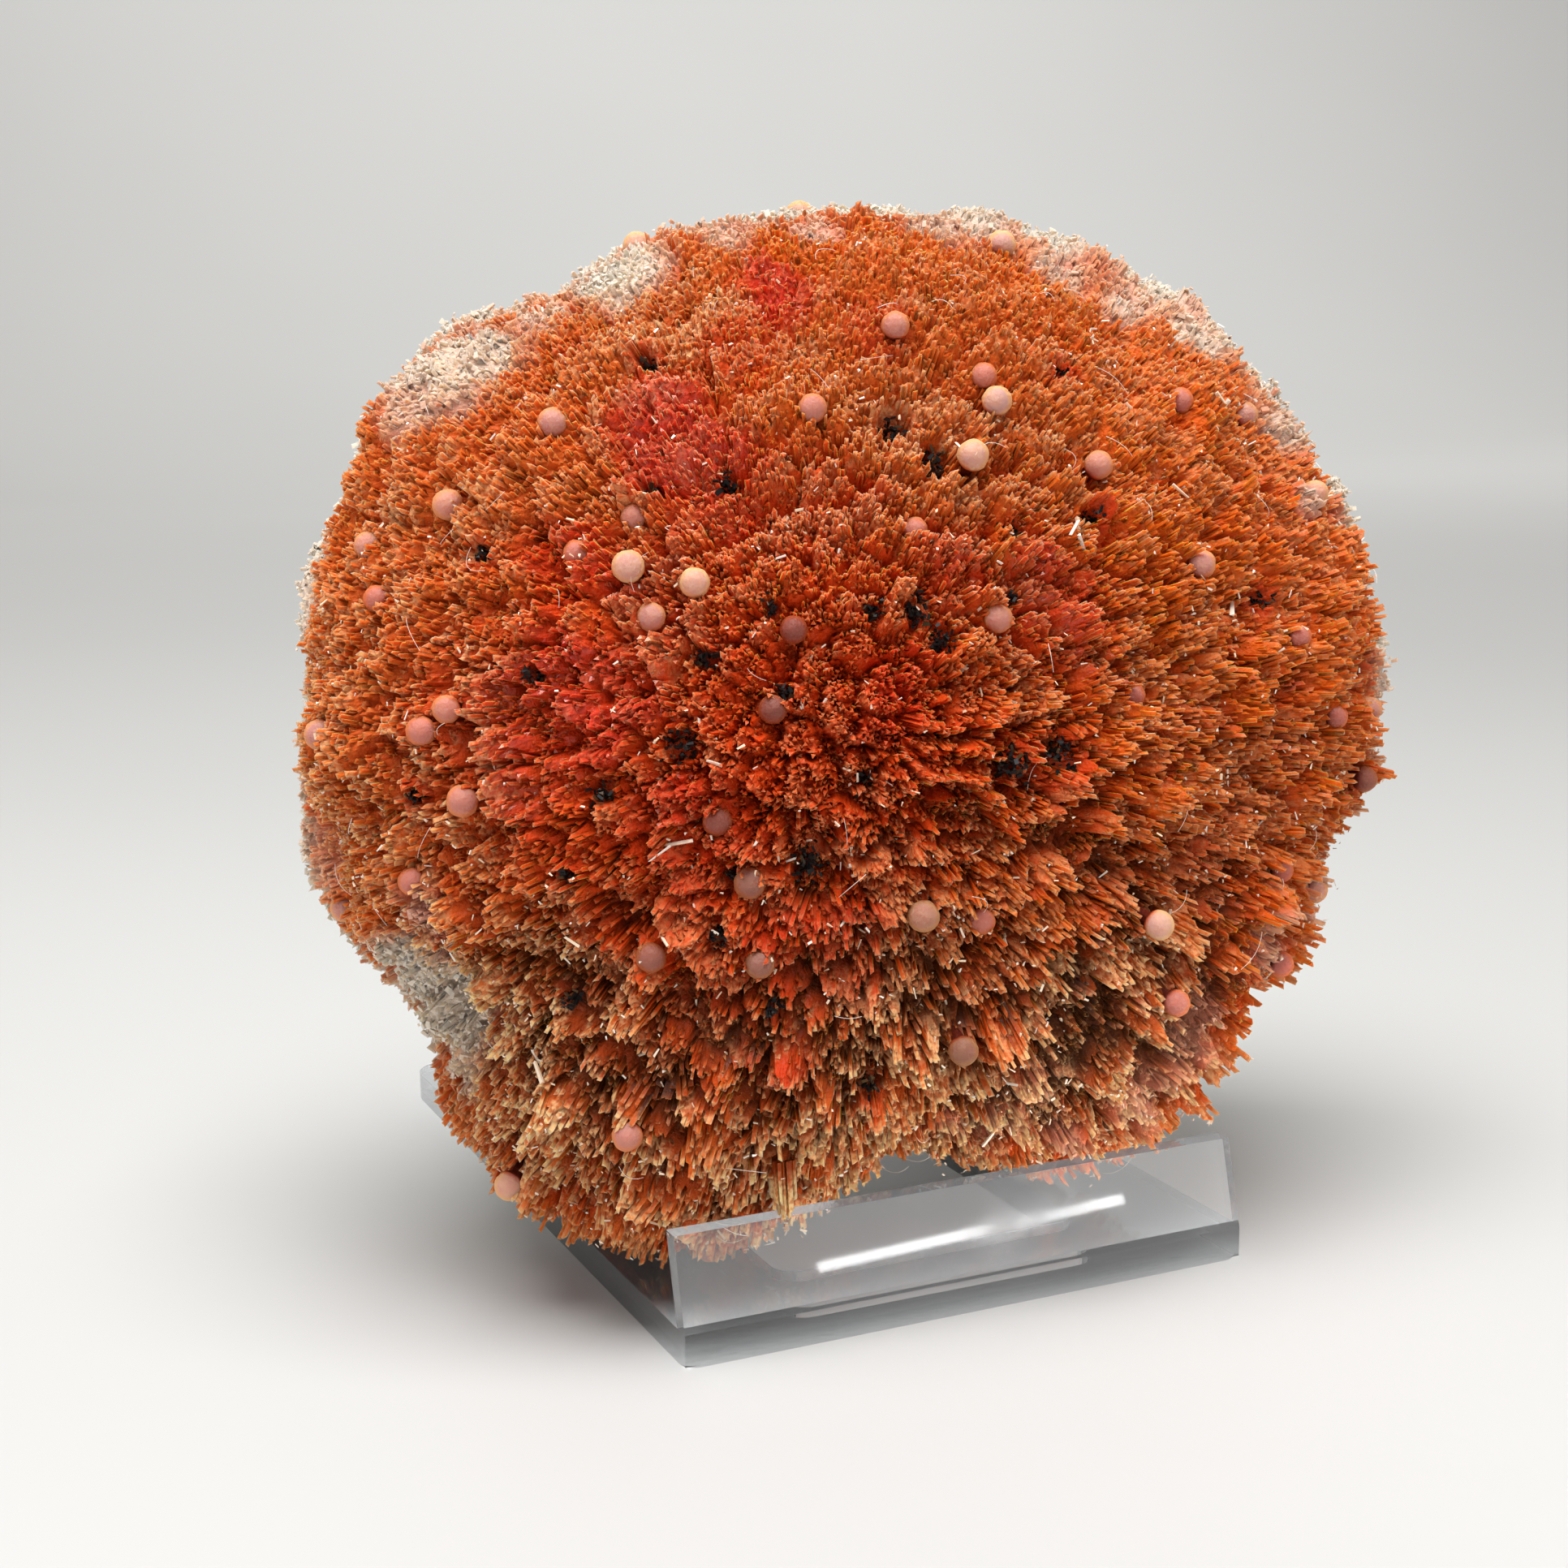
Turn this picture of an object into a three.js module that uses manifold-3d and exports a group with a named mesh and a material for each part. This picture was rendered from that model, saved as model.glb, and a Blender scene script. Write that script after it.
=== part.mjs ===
// A scolecite disk, a dome of radiating crystal tufts, standing in a clear moulded display stand.
// Millimetres, +Z up, the front towards -Y. The pieces are laid out from the middle of the stand's front
// edge, and the last step moves the origin to the middle of the whole footprint.
import * as THREE from 'three';
import { mergeVertices } from 'three/addons/utils/BufferGeometryUtils.js';
import Module from 'manifold-3d';

// Driving dimensions of the stand
const STAND_WIDTH = 76.2;
const BASE_DEPTH = 115;
const BASE_THICKNESS = 4.2;
const EDGE_CHAMFER = 0.5;
const FRONT_CORNER = 2;
const BACK_CORNER = 5;
const BASE_OPENING = { width: 42, front: 12, back: 62, corner: 3 };
const LIP = { height: 15.2, lean: 2.8, thickness: 2.4, root: 0.5 };
const BACK_FRAME = { front: 75, thickness: 3.2, height: 84, width: 70, root: 1 };
const BACK_WINDOW = { width: 46, top: 72, corner: 4, rootCorner: 1 };
const ARC_SEGMENTS = 3;

// Driving dimensions of the disk
const DISK_CENTRE = new THREE.Vector3(-2.5, 33, 68);
const DISK_TURN = THREE.MathUtils.degToRad(6);
const DISK_LEAN = THREE.MathUtils.degToRad(13);
const MEAN_RADIUS = 68.5;
const FRONT_DEPTH = 37;
const FRONT_POWER = 2.4;
const BACK_DEPTH = 36;
const BACK_POWER = 3;
const CLEARANCE = 0.3;

// Lobes and hollows of the disk's outline: degrees round from its right side, half width in degrees, mm high
const LOBES = [
  { at: 14, width: 32, height: 8 },
  { at: 43, width: 8, height: 2.5 },
  { at: 108, width: 42, height: -5 },
  { at: 142, width: 11, height: 2.5 },
  { at: 211, width: 8, height: -5 },
  { at: 236, width: 15, height: 4.5 },
  { at: 272, width: 16, height: -12 },
  { at: 320, width: 12, height: -2.5 },
];
const LOBES_FADE = [0.72, 0.97];

// Relief of the crystal tufts, in mm
const TUFTS_PER_EDGE = 6;
const TUFT_JITTER = 0.04;
const FRONT_CROWDING = 0.2;
const TUFT_DEPTH = 6.5;
const BACK_TUFT_DEPTH = 3;
const PEAK_DROP = [0, 0.3];
const VALLEY_DROP = [0.7, 1.3];
const BACK_BLEND = [-0.5, 0.1];
const SWELLS = [{ wavelength: 24, height: 2 }, { wavelength: 11, height: 2.4 }];
const LEDGE = { perRadian: 4.2, height: 4, wobble: 1.3, wobbleScale: 3, facing: -0.9, spread: 1.5 };
const LEDGE_BLEND = [-0.2, 0.2];

// Rods between the tufts, whose round ends show as beads
const ROD = { radius: 1.8, length: 9, sink: 0.8, capSteps: 2, sides: 6 };
const HANGING_TUFT = { seen: [968, 1462], root: 3, tip: 1.2, length: 12, forwards: 0.15, sides: 6 };
const SIGHT_STEP = 0.5;
const SIGHT_RANGE = 420;

// The eye that the rod ends were sighted from, and its picture: middle and focal length in pixels.
// Each sighted place is a column and a row of a picture 1932 pixels wide and high.
const EYE = new THREE.Vector3(-129.9, -232.9, 114.5);
const EYE_TURN = THREE.MathUtils.degToRad(24.3);
const EYE_DOWN = THREE.MathUtils.degToRad(10.5);
const EYE_ROLL = THREE.MathUtils.degToRad(-0.77);
const PICTURE_MIDDLE = 966;
const FOCAL_PIXELS = 2870;
const RODS_SIGHTED = [
  [552, 622], [681, 521], [774, 698], [856, 718], [802, 760], [780, 291], [454, 673], [550, 874], [394, 905],
  [1001, 503], [985, 265], [1103, 401], [1228, 494], [1199, 561], [1234, 302], [1620, 608], [1353, 573],
  [1533, 512], [1480, 695], [1687, 874], [1230, 762], [570, 987], [425, 1118], [924, 1088], [802, 1180],
  [936, 1188], [773, 1400], [628, 1461], [1138, 1129], [1428, 1140], [1187, 1295], [1681, 960], [1627, 1099],
];

const wasm = await Module();
wasm.setup();

// Random-looking value from 0 to 1 that belongs to three whole numbers
function scatter(i, j, k) {
  const wave = Math.sin(i * 127.1 + j * 311.7 + k * 74.7) * 43758.5453;
  return wave - Math.floor(wave);
}

// Smooth noise from -1 to 1, one cell per unit of length
function noise(point) {
  const cell = point.clone().floor();
  const part = point.clone().sub(cell);
  const ease = (t) => t * t * (3 - 2 * t);
  const [fx, fy, fz] = [ease(part.x), ease(part.y), ease(part.z)];
  let sum = 0;
  for (const [dx, dy, dz] of [0, 1, 2, 3, 4, 5, 6, 7].map((c) => [c & 1, (c >> 1) & 1, c >> 2])) {
    const weight = (dx ? fx : 1 - fx) * (dy ? fy : 1 - fy) * (dz ? fz : 1 - fz);
    sum += weight * scatter(cell.x + dx, cell.y + dy, cell.z + dz);
  }
  return 2 * sum - 1;
}

// Radius of the disk seen from its front, in a direction of its own frame. Its lobes fade out on its face.
function outlineRadius(direction) {
  const degrees = THREE.MathUtils.radToDeg(Math.atan2(direction.y, direction.x));
  const strength = THREE.MathUtils.smoothstep(Math.hypot(direction.x, direction.y), ...LOBES_FADE);
  return LOBES.reduce((radius, lobe) => {
    const away = THREE.MathUtils.euclideanModulo(degrees - lobe.at + 180, 360) - 180;
    return radius + strength * lobe.height * Math.exp(-((away / lobe.width) ** 2));
  }, MEAN_RADIUS);
}

// Smooth body of the disk without relief: distance from its centre in a direction of its own frame
function bodyRadius(direction) {
  const isFront = direction.z > 0;
  const power = isFront ? FRONT_POWER : BACK_POWER;
  const depth = isFront ? FRONT_DEPTH : BACK_DEPTH;
  const across = Math.hypot(direction.x, direction.y) / outlineRadius(direction);
  return (across ** power + (Math.abs(direction.z) / depth) ** power) ** (-1 / power);
}

// Ledges: rows of tufts that rise outwards and drop off, strongest on the lower right of the front
function ledgeHeight(direction) {
  const angle = Math.atan2(direction.y, direction.x) - LEDGE.facing;
  const turned = Math.atan2(Math.sin(angle), Math.cos(angle));
  const strength = Math.exp(-((turned / LEDGE.spread) ** 2));
  const fade = THREE.MathUtils.smoothstep(direction.z, ...LEDGE_BLEND);
  const wobble = LEDGE.wobble * noise(direction.clone().multiplyScalar(LEDGE.wobbleScale));
  const phase = Math.acos(direction.z) * LEDGE.perRadian + wobble;
  return LEDGE.height * strength * fade * (phase - Math.floor(phase) - 0.5);
}

// Height of the tuft tips over the smooth body
function tipRelief(direction, radius) {
  const place = direction.clone().multiplyScalar(radius);
  const swell = SWELLS.reduce((sum, wave) => {
    return sum + wave.height * noise(place.clone().divideScalar(wave.wavelength));
  }, 0);
  return swell + ledgeHeight(direction);
}

function tipRadius(direction) {
  const radius = bodyRadius(direction);
  return radius + tipRelief(direction, radius);
}

// The disk's own frame: x to its right, y up its face, z out of its front
function diskFrame() {
  const right = new THREE.Vector3(Math.cos(DISK_TURN), -Math.sin(DISK_TURN), 0);
  const out = new THREE.Vector3(0, -1, 0).applyAxisAngle(new THREE.Vector3(1, 0, 0), -DISK_LEAN);
  out.applyAxisAngle(new THREE.Vector3(0, 0, 1), -DISK_TURN);
  const up = out.clone().cross(right);
  return new THREE.Matrix4().makeBasis(right, up, out).setPosition(DISK_CENTRE);
}

function withoutNormals(geometry) {
  const bare = geometry.clone();
  bare.deleteAttribute('normal');
  bare.deleteAttribute('uv');
  return mergeVertices(bare, 1e-4);
}

function toSolid(geometry) {
  const merged = withoutNormals(geometry);
  const vertProperties = new Float32Array(merged.attributes.position.array);
  const triVerts = new Uint32Array(merged.index.array);
  return new wasm.Manifold(new wasm.Mesh({ numProp: 3, vertProperties, triVerts }));
}

function toMesh(name, solid, look) {
  const { vertProperties, triVerts } = solid.getMesh();
  const geometry = new THREE.BufferGeometry();
  geometry.setAttribute('position', new THREE.BufferAttribute(new Float32Array(vertProperties), 3));
  geometry.setIndex(new THREE.BufferAttribute(new Uint32Array(triVerts), 1));
  geometry.computeVertexNormals();
  const mesh = new THREE.Mesh(geometry, new THREE.MeshStandardMaterial({ flatShading: true, ...look }));
  mesh.name = name;
  return mesh;
}

// Marks one point in three of a triangle net as a tuft's peak, so that six lower points ring each peak
function findPeaks(index, count) {
  const across = new Map();
  for (let i = 0; i < index.length; i += 3) {
    for (const turn of [0, 1, 2]) {
      const [a, b, c] = [0, 1, 2].map((k) => index[i + ((k + turn) % 3)]);
      across.set(`${b},${c}`, a);
    }
  }
  const isPeak = new Array(count).fill(false);
  const waiting = [0];
  isPeak[0] = true;
  const edges = [...across.entries()].map(([key, far]) => [...key.split(',').map(Number), far]);
  const ringOf = Array.from({ length: count }, () => []);
  edges.forEach(([b, c, a]) => ringOf[a].push([b, c]));
  while (waiting.length > 0) {
    for (const [b, c] of ringOf[waiting.pop()]) {
      const next = across.get(`${c},${b}`);
      if (!isPeak[next]) {
        isPeak[next] = true;
        waiting.push(next);
      }
    }
  }
  return isPeak;
}

// Direction of a net point from the disk's centre: shaken a little, crowded to the front, spread on the rim
function netDirection(ballPoint, i) {
  const shake = new THREE.Vector3(scatter(i, 3, 0), scatter(i, 4, 0), scatter(i, 5, 0)).subScalar(0.5);
  const direction = ballPoint.addScaledVector(shake, TUFT_JITTER).normalize();
  direction.z += FRONT_CROWDING * (1 - direction.z ** 2);
  direction.z *= (direction.z > 0 ? FRONT_DEPTH : BACK_DEPTH) / MEAN_RADIUS;
  return direction.normalize();
}

// How far a net point lies under the tips: a little at a tuft's peak, much more between the tufts
function netDrop(isPeak, direction, i) {
  const front = THREE.MathUtils.smoothstep(direction.z, ...BACK_BLEND);
  const depth = THREE.MathUtils.lerp(BACK_TUFT_DEPTH, TUFT_DEPTH, front);
  const range = isPeak ? PEAK_DROP : VALLEY_DROP;
  return depth * THREE.MathUtils.lerp(...range, scatter(i, 1, 0));
}

// The crystal cluster: a net of pyramid-shaped tufts over the domed body
function crystalDome() {
  const ball = withoutNormals(new THREE.IcosahedronGeometry(1, 3 * TUFTS_PER_EDGE - 1));
  const places = ball.attributes.position;
  const isPeak = findPeaks(ball.index.array, places.count);
  for (let i = 0; i < places.count; i++) {
    const direction = netDirection(new THREE.Vector3().fromBufferAttribute(places, i), i);
    const radius = tipRadius(direction) - netDrop(isPeak[i], direction, i);
    places.setXYZ(i, ...direction.multiplyScalar(radius));
  }
  return toSolid(ball.applyMatrix4(diskFrame()));
}

// Sight line of a picture point: a unit vector from the eye
function sightLine([column, row]) {
  const a = (column - PICTURE_MIDDLE) / FOCAL_PIXELS;
  const b = (row - PICTURE_MIDDLE) / FOCAL_PIXELS;
  const x = a * Math.cos(EYE_ROLL) + b * Math.sin(EYE_ROLL);
  const y = b * Math.cos(EYE_ROLL) - a * Math.sin(EYE_ROLL);
  const level = new THREE.Vector3(x, 1, -y).applyAxisAngle(new THREE.Vector3(1, 0, 0), -EYE_DOWN);
  return level.applyAxisAngle(new THREE.Vector3(0, 0, 1), -EYE_TURN).normalize();
}

// First point of the disk's tips on a sight line, or the nearest point to them where the line passes by
function firstOnDisk(line) {
  const toDisk = diskFrame().invert();
  let best = { gap: Infinity, place: null };
  let far = 0;
  while (far < SIGHT_RANGE && best.gap > 0) {
    const place = EYE.clone().addScaledVector(line, far);
    const inner = place.clone().applyMatrix4(toDisk);
    const gap = inner.length() - tipRadius(inner.clone().normalize());
    far += Math.max(gap / 2, SIGHT_STEP);
    if (gap < best.gap) {
      best = { gap, place };
    }
  }
  const fromCentre = best.place.sub(DISK_CENTRE);
  return fromCentre.setLength(fromCentre.length() - Math.max(best.gap, 0)).add(DISK_CENTRE);
}

// A rod with round ends that points out of the disk, sunk so far that only its outer end shows
function rod(place) {
  const outwards = place.clone().sub(DISK_CENTRE).normalize();
  const pin = new THREE.CapsuleGeometry(ROD.radius, ROD.length, ROD.capSteps, ROD.sides);
  const turn = new THREE.Quaternion().setFromUnitVectors(new THREE.Vector3(0, 1, 0), outwards);
  const middle = place.addScaledVector(outwards, -ROD.length / 2 - ROD.sink);
  return toSolid(pin.applyQuaternion(turn).translate(middle.x, middle.y, middle.z));
}

// The one tuft that hangs over the front lip
function hangingTuft() {
  const { seen, root, tip, length, forwards, sides } = HANGING_TUFT;
  const point = new THREE.CylinderGeometry(tip, root, length, sides);
  const along = new THREE.Vector3(0, -forwards, -1).normalize();
  const turn = new THREE.Quaternion().setFromUnitVectors(new THREE.Vector3(0, 1, 0), along);
  const { x, y, z } = firstOnDisk(sightLine(seen));
  return toSolid(point.applyQuaternion(turn).translate(x, y, z));
}

// A plate of a plan and a thickness. A positive edge chamfers it, and a negative one grows it all round.
function plate(plan, thickness, edge) {
  const size = Math.abs(edge);
  const isGrown = edge < 0;
  const geometry = new THREE.ExtrudeGeometry(plan, {
    depth: isGrown ? thickness : thickness - 2 * size,
    bevelThickness: size,
    bevelSize: size,
    bevelOffset: isGrown ? 0 : -size,
    bevelSegments: 1,
    curveSegments: ARC_SEGMENTS,
  });
  return geometry.translate(0, 0, isGrown ? 0 : size);
}

// A four-sided outline with rounded corners: low and high are its [x, y] limits
function roundedOutline(Outline, low, high, lowCorner, highCorner) {
  const [quarter, outline] = [Math.PI / 2, new Outline()];
  outline.absarc(high[0] - lowCorner, low[1] + lowCorner, lowCorner, -quarter, 0);
  outline.absarc(high[0] - highCorner, high[1] - highCorner, highCorner, 0, quarter);
  outline.absarc(low[0] + highCorner, high[1] - highCorner, highCorner, quarter, 2 * quarter);
  outline.absarc(low[0] + lowCorner, low[1] + lowCorner, lowCorner, 2 * quarter, 3 * quarter);
  outline.closePath();
  return outline;
}

function basePlan() {
  const half = STAND_WIDTH / 2;
  return roundedOutline(THREE.Shape, [-half, 0], [half, BASE_DEPTH], FRONT_CORNER, BACK_CORNER);
}

function basePlate(edge) {
  const { width, front, back, corner } = BASE_OPENING;
  const plan = basePlan();
  plan.holes.push(roundedOutline(THREE.Path, [-width / 2, front], [width / 2, back], corner, corner));
  return toSolid(plate(plan, BASE_THICKNESS, edge));
}

// Front lip: a strip across the whole front that leans back, drawn as its section seen from the side
function frontLip(edge) {
  const { height, lean, thickness, root } = LIP;
  const section = new THREE.Shape();
  section.moveTo(0, root);
  section.lineTo(thickness, root);
  section.lineTo(thickness, BASE_THICKNESS);
  section.lineTo(thickness + lean, height);
  section.lineTo(lean, height);
  section.lineTo(0, BASE_THICKNESS);
  section.closePath();
  const strip = plate(section, STAND_WIDTH, edge);
  const axes = new THREE.Matrix4().makeBasis(
    new THREE.Vector3(0, 1, 0), new THREE.Vector3(0, 0, 1), new THREE.Vector3(1, 0, 0));
  return toSolid(strip.applyMatrix4(axes).translate(-STAND_WIDTH / 2, 0, 0));
}

// Back frame: two upright legs joined by a bar along the top, with a window between them
function backFrame(edge) {
  const { front, thickness, height, width, root } = BACK_FRAME;
  const { corner, rootCorner } = BACK_WINDOW;
  const outline = roundedOutline(THREE.Shape, [-width / 2, root], [width / 2, height], rootCorner, corner);
  const [low, high] = [[-BACK_WINDOW.width / 2, BASE_THICKNESS], [BACK_WINDOW.width / 2, BACK_WINDOW.top]];
  outline.holes.push(roundedOutline(THREE.Path, low, high, rootCorner, corner));
  const frame = plate(outline, thickness, edge).rotateX(Math.PI / 2);
  return toSolid(frame.translate(0, front + thickness, 0));
}

function standSolid(edge) {
  return basePlate(edge).add(frontLip(edge)).add(backFrame(edge));
}

function diskSolid() {
  const rods = RODS_SIGHTED.map((seen) => rod(firstOnDisk(sightLine(seen))));
  const cluster = [...rods, hangingTuft()].reduce((grown, one) => grown.add(one), crystalDome());
  const bed = toSolid(plate(basePlan(), BASE_THICKNESS, -CLEARANCE));
  return cluster.subtract(standSolid(-CLEARANCE)).subtract(bed);
}

const disk = toMesh('scolecite_disk', diskSolid(), { color: 0xc9743f, roughness: 0.55, metalness: 0 });
const clear = { color: 0xe6ebee, roughness: 0.08, metalness: 0, transparent: true, opacity: 0.35 };
const stand = toMesh('stand', standSolid(EDGE_CHAMFER), clear);

// Origin: on the surface it stands on, in the middle of the whole object's footprint
const specimen = new THREE.Group();
specimen.add(disk, stand);
const middle = new THREE.Box3().setFromObject(specimen, true).getCenter(new THREE.Vector3());
specimen.position.set(-middle.x, -middle.y, 0);

export default specimen;
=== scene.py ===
"""A scolecite disk, a dome of radiating crystal needles, leaning in its clear moulded display stand."""

import functools
import itertools
import math

import bmesh
import bpy
import numpy as np
from bpy.props import FloatProperty, FloatVectorProperty, IntProperty, PointerProperty
from bpy.types import Operator, Panel, PropertyGroup
from mathutils import Matrix, Vector, kdtree


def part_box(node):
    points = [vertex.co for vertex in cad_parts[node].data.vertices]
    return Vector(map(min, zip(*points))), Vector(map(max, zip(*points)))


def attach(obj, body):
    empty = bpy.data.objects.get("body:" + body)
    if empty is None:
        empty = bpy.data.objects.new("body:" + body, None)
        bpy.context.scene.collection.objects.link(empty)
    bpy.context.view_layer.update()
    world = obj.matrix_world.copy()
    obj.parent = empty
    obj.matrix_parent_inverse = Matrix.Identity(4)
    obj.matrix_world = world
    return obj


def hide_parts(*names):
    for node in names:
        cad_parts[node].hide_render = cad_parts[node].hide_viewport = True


bl_info = {
    "name": "Scolecite disk on its stand",
    "version": (1, 0, 0),
    "blender": (4, 5, 0),
    "location": "View3D > Sidebar > Scolecite",
    "description": "Grows the needles of a scolecite disk and dresses its clear stand",
    "category": "Object",
}

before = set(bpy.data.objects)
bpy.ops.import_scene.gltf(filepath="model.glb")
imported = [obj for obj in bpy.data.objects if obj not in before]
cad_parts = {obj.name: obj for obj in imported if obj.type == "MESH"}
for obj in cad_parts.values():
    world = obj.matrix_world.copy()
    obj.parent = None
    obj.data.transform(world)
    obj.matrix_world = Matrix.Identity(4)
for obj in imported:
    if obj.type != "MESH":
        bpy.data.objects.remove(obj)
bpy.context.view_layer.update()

# Millimetre sizes are worked with as such, and meshes are made in metres
MM = 0.001
BODY = "root"
DISK_NODE = "scolecite_disk"
STAND_NODE = "stand"
CRYSTAL_SLOT = "scolecite"

# Everything that grows at random has a fixed seed of its own
SEEDS = {
    "tufts": 11, "mass": 13, "needles": 17, "grains": 29, "hanging_tuft": 23, "beads": 5, "specks": 8,
    "splinters": 31, "fibres": 47,
}

# Factors of the sine that random-looking values come from
SCATTER_WAVES = np.array((127.1, 311.7, 74.7))
SCATTER_SCALE = 43758.5453

# The stand, laid out from the middle of its front edge as the frame's own stand is
STAND_LOW, STAND_HIGH = (np.array(corner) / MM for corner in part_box(STAND_NODE))
STAND_WIDTH, BASE_DEPTH, STAND_HEIGHT = STAND_HIGH - STAND_LOW
STAND_ORIGIN = np.array((STAND_LOW[0] + STAND_WIDTH / 2, STAND_LOW[1], 0.0))
BASE_THICKNESS = 4.2
FRONT_CORNER = 2.0
BACK_CORNER = 5.0
BASE_OPENING = {"half": 21.0, "front": 12.0, "back": 62.0, "corner": 3.0}
LIP = {"height": 15.2, "lean": 2.8, "thickness": 2.4}
BACK_FRAME = {"half": 35.0, "front": 75.0, "thickness": 3.2}
BACK_WINDOW = {"half": 23.0, "top": 72.0, "corner": 4.0}
CUTTER_REACH = 5.0
CORNER_SEGMENTS = 8
EDGE_SEGMENTS = 3
UPWARDS = 0.9  # least upward part of the normal of a top face
EDGE_LEAST_ANGLE = math.radians(50)
FLAT_ANGLE = math.radians(1)
MERGE_DISTANCE = 0.01
FRAME_ROOT = 1.0
SELECT_MARGIN = 1.0
CLEARANCE = 0.3
KEPT_OFF = 2 * CLEARANCE  # how far the growth stays from the stand

# The disk's body: centre from the stand's origin, turn and lean, and the smooth form under its relief
DISK_CENTRE = STAND_ORIGIN + np.array((-2.5, 33.0, 68.0))
DISK_TURN = math.radians(6)
DISK_LEAN = math.radians(13)
MEAN_RADIUS = 68.5
FRONT_DEPTH = 37.0
FRONT_POWER = 2.4
BACK_DEPTH = 36.0
BACK_POWER = 3.0

# Bulges and notches of the outline: angle and width in degrees, and height
LOBES = (
    (14, 32, 8), (43, 8, 2.5), (108, 42, -5), (142, 11, 2.5),
    (211, 8, -5), (236, 15, 4.5), (272, 16, -12), (320, 12, -2.5),
)
LOBES_FADE = (0.72, 0.97)

# Relief of the tip surface: wavelength and height of its swells, and ledges, strongest at the lower right
SWELLS = ((24, 2.0), (11, 2.4))
LEDGE = {"per_radian": 4.2, "height": 4.0, "wobble": 1.3, "wobble_scale": 3.0, "facing": -0.9, "spread": 1.5}
LEDGE_BLEND = (-0.2, 0.2)

# The eye that the photographed places were sighted from, in a picture 1932 pixels wide and high
EYE = STAND_ORIGIN + np.array((-129.9, -232.9, 114.5))
EYE_TURN = math.radians(24.3)
EYE_DOWN = math.radians(10.5)
EYE_ROLL = math.radians(-0.77)
PICTURE_SIZE = 1932
FOCAL_PIXELS = 2870
SENSOR_WIDTH = 36.0
SIGHT_STEP = 0.5
SIGHT_STEPS = 700

# Growth of the crystal: it radiates from a focus behind the disk's centre
FOCUS = np.array((0.0, 0.0, -9.0))
GOLDEN_ANGLE = math.pi * (3 - math.sqrt(5))
LEVEL_STEPS = 2001

# How densely it grows at heights on the disk's axis, from -1 at the back to 1 at the front
DENSITY_LEVELS = (-0.45, -0.1, 0.55, 0.95)
DENSITIES = (0.4, 1.0, 1.0, 1.5)

# How deep the needles' roots and the core lie below the tips, and how low the relief of the back is
ROOT_DEPTH = 10.0
CORE_DEPTH = 7.0
BACK_CORE_DEPTH = 0.9
BACK_RELIEF = {"levels": (-0.5, -0.2), "least": 0.3, "low": -0.7, "high": 0.7}
CORE_DEPTH_BLEND = (-0.5, -0.2)
CORE_SUBDIVISIONS = 5
CORE_LUMPS = (4.0, 0.7)  # size and height
CORE_TONE = {"middle": 0.5, "swing": 0.5, "scale": 1.1}
STEP_BACK = 0.25
CORE_STEPS_BACK = 60

# Tufts stand in larger clumps. A warp shakes the borders between them: its scale and size
CLUMP_COUNT = 900
TUFT_COUNT = 7000
CLUMP_SHAKE = 0.03
TUFT_SHAKE = 0.008
TUFT_WARPS = ((2.2, 0.7), (0.9, 0.45))
WARP_SHIFTS = (0, 31, 67)
SLOPE_FADE = MEAN_RADIUS / 4
CLUMP_HEIGHT = (-2.4, 0.8)
TUFT_HEIGHT = (-2.4, 0.7)
CLUMP_RISE = (0.3, 0.8)
TUFT_RISE = (0.3, 1.1)
CREVICE = {"clump": 3.0, "clump_width": 1.5, "tuft": 1.1, "tuft_width": 0.5}

# How the growth gets rougher from the smooth top and upper left to the rugged bottom, and how much of the
# painted shade of depth the smooth areas keep
CALM = {
    "towards": (0.1, -1.0, 0.8), "smooth": -45.0, "rugged": 85.0, "least": 0.25, "least_slope": 0.55,
    "least_shade": 0.55, "least_tip": 0.5,
}
BLUNT = {"clump": 1.5, "tuft": 0.8}
CROWN = {"clump": 0.45, "from": -0.9, "to": 1.5}
TUFT_LEAN = 0.10
TUFT_ROLL = 0.15
NEEDLE_LEAN = 0.012
NEEDLE_FORM = {"shake": 0.0028, "width": (0.75, 1.2), "ratio": (0.7, 1.0), "taper": (0.8, 1.0), "slant": 0.2}
NEEDLE_TONE = {"tuft": 0.6, "most": 0.5}
STEEP = 0.7
CUT_STEPS = 12
SHORTEST_CUT = 0.15
NEEDLE_DROP = {"least": 0.24, "rugged": 0.55, "most": 2.0, "proud": 0.15}
HEIGHT_LIMITS = (-6.4, 1.5)

# A needle is a prism. What varies along it goes from 0 at the corners of its root to 1 at those of its tip
PRISM_SIDES = 3
LENGTHWAYS = np.repeat(np.array(((0.0, 1.0),)), PRISM_SIDES, axis=1)
TIP_PARTS = 4  # the colour of the tips keeps to the last of so many parts of a needle

FINE_LEDGE = {"per_radian": 11.0, "height": 3.2, "wobble": 2.2, "wobble_scale": 5.0}
FINE_LEDGE_LEAST = 0.3

# The fused mass between the needles, a square net of points wrapped over the front and sides
MASS_POINTS = 400
MASS_LOWEST = -0.55
MASS_EDGE = {"from": -0.5, "to": -0.3, "depth": 3.0}
MASS_SUNK = {"least": 0.8, "rugged": 0.8, "red": 0.25, "pale": 0.3}
TIP_LEAST = 0.4
MASS_LUMPS_LEAST = 0.5
MASS_LUMPS = ((1.8, 0.3), (0.9, 0.5), (0.45, 0.3))  # size and height
MASS_GRAIN = 0.09
MASS_STEPS_BACK = 40
MASS_TIP_SHARE = 0.8
MASS_TONE = {"least": 0.25, "tuft": 0.5, "swing": 0.15, "scale": 0.8}

# Parts that the mass and the needles are divided into
QUARTERS = ("upper_left", "lower_left", "upper_right", "lower_right")
SECTORS = ("right", "upper_right", "upper_left", "left", "lower_left", "lower_right")
SECTOR_ANGLE = 360 / len(SECTORS)

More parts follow.
